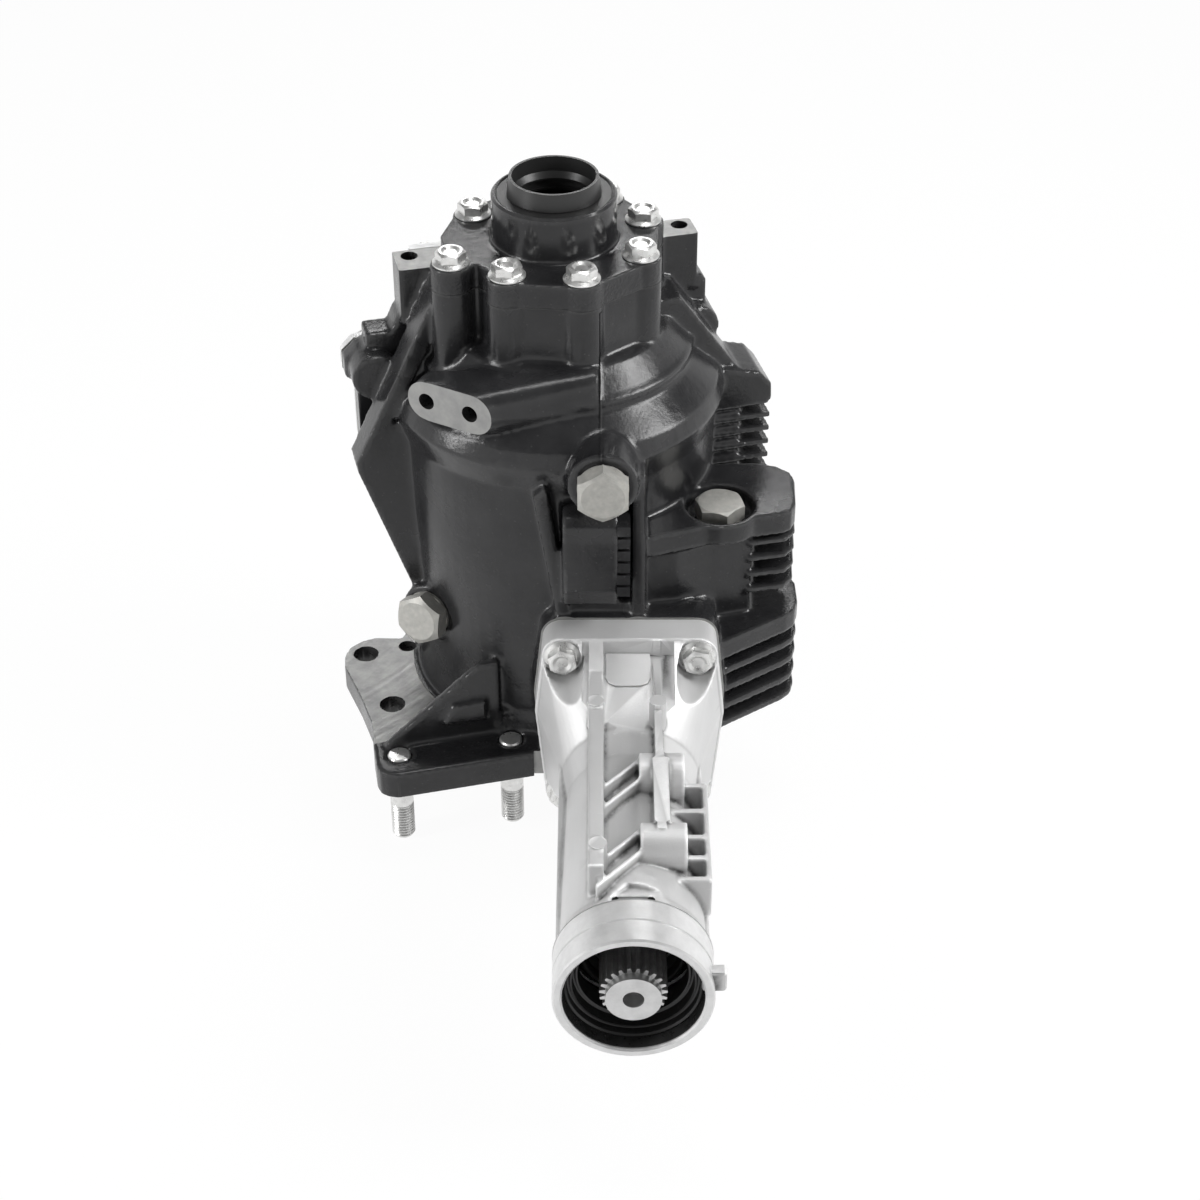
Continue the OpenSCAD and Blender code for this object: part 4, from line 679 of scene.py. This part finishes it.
# %% Main casting: bores
cut(casting, spun([(0, 13), (66, 13), (66, 176), (46.5, 207), (33.5, 221), (33.5, 222.95), (37.55, 222.95),
                   (37.55, 262), (0, 262)]), iron_face)
cut(casting, spun([(0, -20), (30.05, -20), (30.05, -2.95), (27, -2.95), (27, -2.05), (37.55, -2.05),
                   (37.55, 14), (0, 14)]), iron_face)
wing = [(-102.6, 20.7, 6.5), (-96.3, -25.8, 6.5), (-79.7, 22.2, 4.5)]
lugs = [rod(6.5, -5, 20, about_z(angle) @ at(90, 0, 0)) for angle in (-4, 62, 112)]
threads = [rod(4.2, -12, 5, PAD @ at(0, y, 0)) for y in (-12, 12)]
threads += [rod(4.25, 229, 262, CASE @ at(x, 20, 0)) for x in (-68, 68)]
holes = [rod(r, -5, 20, CASE @ at(x, y, 0)) for x, y, r in wing]
# The holes and threads are cut in the near-black bore metal, which is painted shade for their insides.
cut(casting, together(*holes, *lugs, *threads), shaded_bore)
finished(casting, stands_for=["case_body"], folds=0.12)

# %% [markdown]
# ## Extension housing
# A pressure die casting: finer edges than sand gives, so a smaller voxel. Its mouth was turned on a
# lathe, and so it is here: the bands get extra metal, then a spun cutter takes them to size. The small
# tab beside the mouth was left standing, so it joins after the turning.


# %% Extension housing: skin
def allow_round(bm, place, radii, low, high, extra):
    """Turning allowance: moves vertices of some radii outwards from an axis, between two stations"""
    inverse = place.inverted()
    moved = 0
    for v in bm.verts:
        local = inverse @ v.co
        r = math.hypot(local.x, local.y)
        if low < local.z < high and min(abs(r - want) for want in radii) < 0.02:
            v.co = place @ Vector((local.x * (r + extra) / r, local.y * (r + extra) / r, local.z))
            moved += 1
    return moved


housing = pattern("extension_housing")
# The pinion's own frame: x right, y up, z outwards from the extension joint
MOUTH = at(36.5, -88, 45.7) @ UPRIGHT
turned_bands = allow_round(housing, MOUTH, (34.95, 35.75), 180.5, 206.5, 1.0)
print("vertices with allowance:", allow(housing, (0, -295, 0), (0, -1, 0), 1.2),
      allow(housing, (0, -88.5, 0), (0, 1, 0), 1.0), turned_bands)
extension = cast("extension", housing, 0.7, 1, 3, 185000, die_cast)

# %% [markdown]
# ## Panel between the ribs
# Between the ribs on top the real housing falls away in a slope, with a tongue near the flange. The CAD
# solid keeps this part full. A prism drawn in side view and pushed across takes the slope out in three
# strips, which leaves the ribs between them standing, and the tongue is laid on the slope.

# %% Extension housing: panel between the ribs
SIDE = MOUTH @ Matrix(((0, 0, -1, 0), (0, 1, 0, 0), (1, 0, 0, 0), (0, 0, 0, 1)))
slope = [(16.8, 44), (62, 31.4), (62, 60), (16.8, 60)]
for x0, x1 in ((-23.5, -20), (-13, 11.25), (14.75, 21.5)):
    cut(extension, prism(slope, -x1, -x0, SIDE), die_cast)
cut(extension, block((9, 43.2, 17), (17, 60, 160), MOUTH), die_cast)
tongue_outline = [(-11.6, 0), (9.8, 0), (9.8, 15), (8.5, 18), (5, 19.5), (-7, 19.5), (-10.3, 18), (-11.6, 15)]
on_slope = MOUTH @ at(0, 44, 16.8) @ Matrix.Rotation(math.radians(105.6), 4, "X")
cut(extension, prism(tongue_outline, -1.1, 1.0, on_slope), die_cast, "UNION")
print("sloping panel and tongue are cut")

# %% [markdown]
# ## The turned mouth
# The bands of the mouth come off a lathe, so they have to be truly round, which a remeshed skin isn't.
# The skin is cut back and a spun ring with the real groove and chamfers takes its place. Then the bore,
# the seats of the four bolts, the tab and the ejector pads follow, in the order of a workshop.

# %% Extension housing: turned mouth, joint face and bore
cut(extension, spun([(33.5, 181), (60, 181), (60, 212), (0, 212), (0, 206.5), (33.5, 206.5)], MOUTH), alu_face)
ring_profile = [(31.0, 180.4), (34.95, 180.4), (34.95, 181), (35.75, 181.8), (35.75, 193.3), (35.0, 193.7),
                (35.0, 194.3), (35.75, 194.7), (35.75, 206.2), (34.9, 207), (31.0, 207)]
mouth_ring = spun(ring_profile, MOUTH, 160)
cut(extension, mouth_ring, alu_face, "UNION")
cut(extension, spun([(35.95, -6), (90, -6), (90, 0.5), (35.95, 0.5)], MOUTH), alu_face)
# The bore is cut in the near-black bore metal, which is painted shade for the inside of the housing.
cut(extension, spun([(0, -9), (31.05, -9), (31.05, 47.05), (25, 47.05), (25, 134), (22.15, 134), (22.15, 164),
                     (28.45, 164), (28.45, 174), (31.4, 174), (31.4, 205.4), (0, 205.4)], MOUTH), shaded_bore)
lip_chamfer = [(0, 205.3), (31.4, 205.3), (31.4, 206.1), (32.3, 207), (32.3, 209), (0, 209)]
cut(extension, spun(lip_chamfer, MOUTH), alu_face)
EXTENSION_SPOTS = [(x, y) for x in (-33, 33) for y in (-43.2, 43.2)]
for x, y in EXTENSION_SPOTS:
    cut(extension, rod(9.8, 16.4, 32, MOUTH @ at(x, y, 0)), alu_face)
print("mouth, joint face, bore and", len(EXTENSION_SPOTS), "bolt seats are cut")

# %% Extension housing: tab and ejector pads
tab = block((30, 0, 196), (40.8, 11.5, 202.5), MOUTH)
bmesh.ops.bevel(tab, geom=tab.edges, offset=1.6, offset_type="OFFSET", segments=3, profile=0.5,
                affect="EDGES", material=-1)
cut(extension, tab, die_cast, "UNION")
Z_TO_Y = Matrix.Rotation(math.radians(-90), 4, "X")
EJECTOR_TOP = 45.9
ejectors = [rod(4.1, 30, EJECTOR_TOP, MOUTH @ at(x, 0, s) @ Z_TO_Y, 40)
            for x, s in ((-16.5, 55), (13, 55), (-15.5, 156))]
cut(extension, together(*ejectors), die_cast, "UNION")
finished(extension, stands_for=["extension_housing"], folds=0.12)

# %% [markdown]
# ## Side cover
# The cover is cast like the bell and painted with it. Its lobed rim keeps a coarse sand skin, while the
# seal tube was turned before it was painted, so it is smoother.

# %% Side cover
lid = pattern("side_cover")
print("vertices with allowance:", allow(lid, (0, 0, 251.5), (0, 0, -1), 1.0),
      allow(lid, (0, 0, 287), (0, 0, 1), 1.2))
cover = cast("cover", lid, 0.75, 3, 6, 120000, paint, coarse_paint)
cut(cover, spun([(37.45, 240), (90, 240), (90, 251.5), (37.45, 251.5)]), iron_face)
cut(cover, spun([(0, 240), (24.5, 240), (24.5, 277), (27.55, 277), (27.55, 286.3), (28.3, 287), (29.2, 287),
                 (30.4, 285.8), (34, 285.8), (34, 295), (0, 295)]), smooth_paint)
cover.data.materials.append(smooth_paint)
RIM_TOP, TUBE_FOOT, TUBE_REACH = 0.2622, 0.266, 0.04
for face in cover.data.polygons:
    outside = math.hypot(face.center.x, face.center.y) > TUBE_REACH
    if face.center.z < RIM_TOP and outside:
        face.material_index = 1
    elif face.center.z > TUBE_FOOT and not outside:
        face.material_index = len(cover.data.materials) - 1
finished(cover, stands_for=["side_cover"], folds=0.12)

# %% [markdown]
# ## Rear cover
# A half-round lid over the gear chamber, bolted to the joint behind. The photograph shows only its rim,
# so it keeps the CAD shape and gets the rounded edges of a casting.

# %% Rear cover
back = pattern("rear_cover")
joint = CASE.to_3x3() @ Vector((0, 26.5, 0))
print("vertices with allowance:", allow(back, joint, CASE.to_3x3() @ Vector((0, -1, 0)), 1.0))
rear = cast("rear_lid", back, 1.2, 2, 6, 90000, die_cast)
cut(rear, block((-150, 0, 0), (150, 26.5, 300), CASE), alu_face)
finished(rear, stands_for=["rear_cover"], folds=0.12)

# %% [markdown]
# ## Flange bolts
# Each bolt head is a hexagon with a round washer flange under it and a shallow dish on top. The corners
# of a real head are turned off at 30 degrees: here a hexagonal bar is cut by a cone. One head is made as
# a template, then copied to every bolt spot, and the copies of one joint are one mesh.


# %% Bolt and plug templates
def hex_head(across, height, flange_r=0.0, flange_h=0.0, dish=0.0, bevel=0.07):
    corner = across / math.cos(math.radians(30)) / 2
    head = raw("head", rod(corner, flange_h * 0.5, height, sides=6))
    flat_r = across * (0.5 - bevel)
    fall = (corner + 2 - flat_r) * math.tan(math.radians(30))
    cone = spun([(flat_r, height), (corner + 2, height - fall), (corner + 2, height + 3), (0, height + 3),
                 (0, height)], steps=72)
    cut(head, cone)
    if dish:
        cut(head, spun([(0, height - dish), (across * 0.24, height - dish), (across * 0.36, height),
                        (across * 0.36, height + 2), (0, height + 2)], steps=48))
    if flange_r:
        washer = spun([(0, 0), (flange_r - 0.3, 0), (flange_r, 0.3), (flange_r, flange_h * 0.55),
                       (flange_r * 0.93, flange_h * 0.8), (across * 0.56, flange_h * 1.2), (0, flange_h * 1.2)],
                      steps=64)
        cut(head, washer, operation="UNION")
    bm = bmesh.new()
    bm.from_mesh(head.data)
    bm.transform(TO_MM)
    bpy.data.objects.remove(head)
    mesh = bpy.data.meshes.new("head_template")
    bm.to_mesh(mesh)
    bm.free()
    return mesh


def copies(mesh, places):
    """One bmesh with a copy of a template at every place"""
    whole = bmesh.new()
    for place in places:
        mark = len(whole.verts)
        whole.from_mesh(mesh)
        whole.verts.ensure_lookup_table()
        bmesh.ops.transform(whole, matrix=place, verts=whole.verts[mark:])
    return whole


bolt_head = hex_head(13, 7, flange_r=8.9, flange_h=1.8, dish=1.1)
plug_head = hex_head(24, 9)
small_plug_head = hex_head(22, 8, bevel=0.015)
print("bolt head:", len(bolt_head.polygons), "faces; plug head:", len(plug_head.polygons), "faces")

# %% [markdown]
# ## Bolts in place
# The spots are lists of radius and angle, or of x and z, as on a drilling plan. Real bolts stop at
# different angles when they are tightened, so each head is turned a little further than the last. The
# shanks below are spun bars that reach into the threads.

# %% Flange bolts in place
COVER_SPOTS = [(46, 151), (46, -118), (46, -73), (46, -26), (46, 21), (46, 58), (46, 105), (56, -150)]
REAR_SPOTS = [(-90, 196), (-86, 148), (-78.5, 100), (-56, 241.5), (74, 202), (81, 150), (78, 112), (76, 72)]
joints = {
    "cover_bolts": (22, [about_z(a) @ at(r, 0, 263.5) @ about_z(17 * n)
                         for n, (r, a) in enumerate(COVER_SPOTS)]),
    "extension_bolts": (18, [MOUTH @ at(x, y, 16.5) @ about_z(x + y) for x, y in EXTENSION_SPOTS]),
    "rear_cover_bolts": (16, [CASE @ at(x, 32.5, z) @ Z_TO_Y @ about_z(13 * n)
                              for n, (x, z) in enumerate(REAR_SPOTS)]),
}
for name, (reach, places) in joints.items():
    heads = copies(bolt_head, places)
    shank = [(0, -reach), (3.4, -reach), (4, -reach + 0.8), (4, 0.6), (0, 0.6)]
    shanks = [spun(shank, place, 24) for place in places]
    bolts = raw("bright_" + name, together(heads, *shanks), bright_zinc)
    finished(bolts, stands_for=[name])

# %% [markdown]
# ## Hex plugs
# Three larger plugs close the oil holes. Each sits on a thin crushed washer, and its thread goes into
# the casting.

# %% Hex plugs
outwards = about_z(-119) @ Matrix.Rotation(math.radians(82), 4, "Y")
plugs = {
    "front_plug": (plug_head, at(23.3, -93, 179.8) @ UPRIGHT, 0),
    "left_plug": (plug_head, at(-54.6, -19.8, 64.9) @ outwards @ at(0, 0, 25), 30),
    "top_plug": (small_plug_head, at(81, -52, 135), 15),
}
for name, (head, place, turn) in plugs.items():
    top = copies(head, [place @ at(0, 0, 1.8) @ about_z(turn)])
    stem = spun([(0, -12), (8, -12), (9, -11), (9, 2.6), (0, 2.6)], place, 40)
    finished(raw("hex_" + name, together(top, stem), dull_zinc), stands_for=[name])

# %% [markdown]
# ## Studs
# Each mounting stud shows a bright domed end above the plate and hangs below it, first plain and then
# threaded. The thread is a row of small ridges in a spun profile, which at this size reads as a helix.

# %% Studs
def stud_profile(pitch=1.75):
    """Half the outline of a stud, from its tip up: chamfer, thread ridges, plain part, dome"""
    ridges = []
    z = -36.5
    while z < -17:
        ridges += [(5.35, z), (6.0, z + 0.7), (6.0, z + 0.95), (5.35, z + 1.65)]
        z += pitch
    upper = [(5.4, -16.5), (6.0, -15.6), (6.0, -0.06), (5.9, -0.06), (5.9, 14.7), (5.1, 15.4), (3.0, 15.5),
             (0, 15.5)]
    return [(0, -38), (4.4, -38), (5.2, -37.2)] + ridges + upper


studs = [spun(stud_profile(), CASE @ at(x, y, 0), 40) for x, y in ((-100.4, -68.6), (-42.3, -70))]
finished(raw("studs", together(*studs), bright_zinc), stands_for=["mounting_studs"])

# %% [markdown]
# ## Seal in the mouth
# A radial shaft seal is a rubber-coated ring with several ridges towards the open end. A closed profile,
# spun once, gives the coat, the ridges and the two lips that run on the sleeve of the drive shaft.

# %% Seal in the mouth
seal_profile = [(28.4, 164.2), (28.4, 173.0), (28.0, 173.6), (27.2, 173.6), (26.9, 172.0), (26.1, 172.0),
                (25.8, 174.6), (25.2, 174.9), (24.9, 172.6), (24.5, 172.6), (24.4, 176.8), (23.6, 177.8),
                (22.2, 177.9), (21.7, 176.6), (22.0, 173.0), (19.8, 169.8), (19.8, 168.8), (23.0, 168.0),
                (23.5, 164.5)]
boot_profile = [(31.35, 178.5), (31.35, 199), (30.2, 199.6), (29.4, 198.8), (29.2, 195.5), (28.3, 195.2),
                (27.9, 196.2), (27.1, 196.2), (26.8, 191.0), (25.9, 190.6), (25.4, 191.6), (24.6, 191.4),
                (24.3, 186), (24.9, 182), (26.5, 179)]
seal_parts = [spun(profile, MOUTH, 128) for profile in (seal_profile, boot_profile)]
mouth_seal = raw("mouth_seal", together(*seal_parts), rubber)
finished(mouth_seal, stands_for=["extension_seal_case", "extension_seal_lip"])

# %% [markdown]
# ## Stage
# A white floor in a white room. Black paint mirrors whatever stands round it, so the world is white only
# near the horizon and dim overhead: the upper faces then stay dark, as in the photograph. The floor glows
# white for the camera and for reflections, but a share of it stays a matt surface that takes the shadow.

# %% Stage
FLOOR_Z = -0.0385
GLOW = 0.95
world = bpy.data.worlds.new("studio")
bpy.context.scene.world = world
world.use_nodes = True
tree = world.node_tree
tree.nodes.clear()
direction = add(tree, "TexCoord").outputs["Generated"]
height = add(tree, "SeparateXYZ", Vector=direction).outputs["Z"]
fade = add(tree, "MapRange", Value=height, From_Min=0.27, From_Max=0.45, To_Min=1.0, To_Max=0.15)
sky = add(tree, "Background", Color=(1, 1, 1, 1), Strength=fade.outputs[0])
tree.links.new(sky.outputs[0], add(tree, "OutputWorld").inputs["Surface"])

floor_bm = bmesh.new()
bmesh.ops.create_grid(floor_bm, x_segments=1, y_segments=1, size=4, matrix=at(0, 0, FLOOR_Z))
floor_mesh = bpy.data.meshes.new("floor")
floor_bm.to_mesh(floor_mesh)
floor = bpy.data.objects.new("floor", floor_mesh)
bpy.context.collection.objects.link(floor)
white = bpy.data.materials.new("white_floor")
white.use_nodes = True
tree = white.node_tree
tree.nodes.clear()
rays = add(tree, "LightPath").outputs
seen = add(tree, "Math", {"operation": "MAXIMUM"}, _0=rays["Is Camera Ray"], _1=rays["Is Transmission Ray"])
seen = add(tree, "Math", {"operation": "MAXIMUM"}, _0=seen.outputs[0], _1=rays["Is Glossy Ray"])
share = add(tree, "Math", {"operation": "MULTIPLY"}, _0=seen.outputs[0], _1=GLOW)
matt = add(tree, "BsdfDiffuse", Color=(0.9, 0.9, 0.9, 1))
glow = add(tree, "Emission", Color=(1, 1, 1, 1), Strength=1.0)
floor_mix = add(tree, "MixShader", _0=share.outputs[0], _1=matt.outputs[0], _2=glow.outputs[0])
tree.links.new(floor_mix.outputs[0], add(tree, "OutputMaterial").inputs["Surface"])
floor_mesh.materials.append(white)
print("stage ready, floor at", FLOOR_Z, "m")

# %% [markdown]
# ## Lamps
# Four softboxes. A long narrow one low on the left and a broad one on the right draw the highlights down
# the bell and the belly, one behind rims the top edges, and a weak one above fills. Narrow lamps give
# crisp lines on satin paint where a wide one would only veil it.


# %% Lamps
def softbox(name, place, aim, size, watts):
    lamp = bpy.data.objects.new(name, bpy.data.lights.new(name, "AREA"))
    bpy.context.collection.objects.link(lamp)
    lamp.data.shape = "RECTANGLE"
    lamp.data.size, lamp.data.size_y = size
    lamp.data.energy = watts
    lamp.location = place
    lamp.rotation_euler = (Vector(aim) - Vector(place)).to_track_quat("-Z", "Y").to_euler()
    return lamp


middle = (0.0, -0.05, 0.12)
boxes = [softbox("top_box", (0.1, 0.1, 1.3), middle, (0.5, 0.3), 4),
         softbox("back_box", (0.0, 1.0, 0.95), middle, (0.9, 0.10), 4),
         softbox("left_box", (-1.05, -0.45, 0.6), middle, (0.16, 0.9), 9),
         softbox("right_box", (1.0, -0.2, 0.85), middle, (0.4, 0.6), 12)]
print({box.name: box.data.energy for box in boxes})
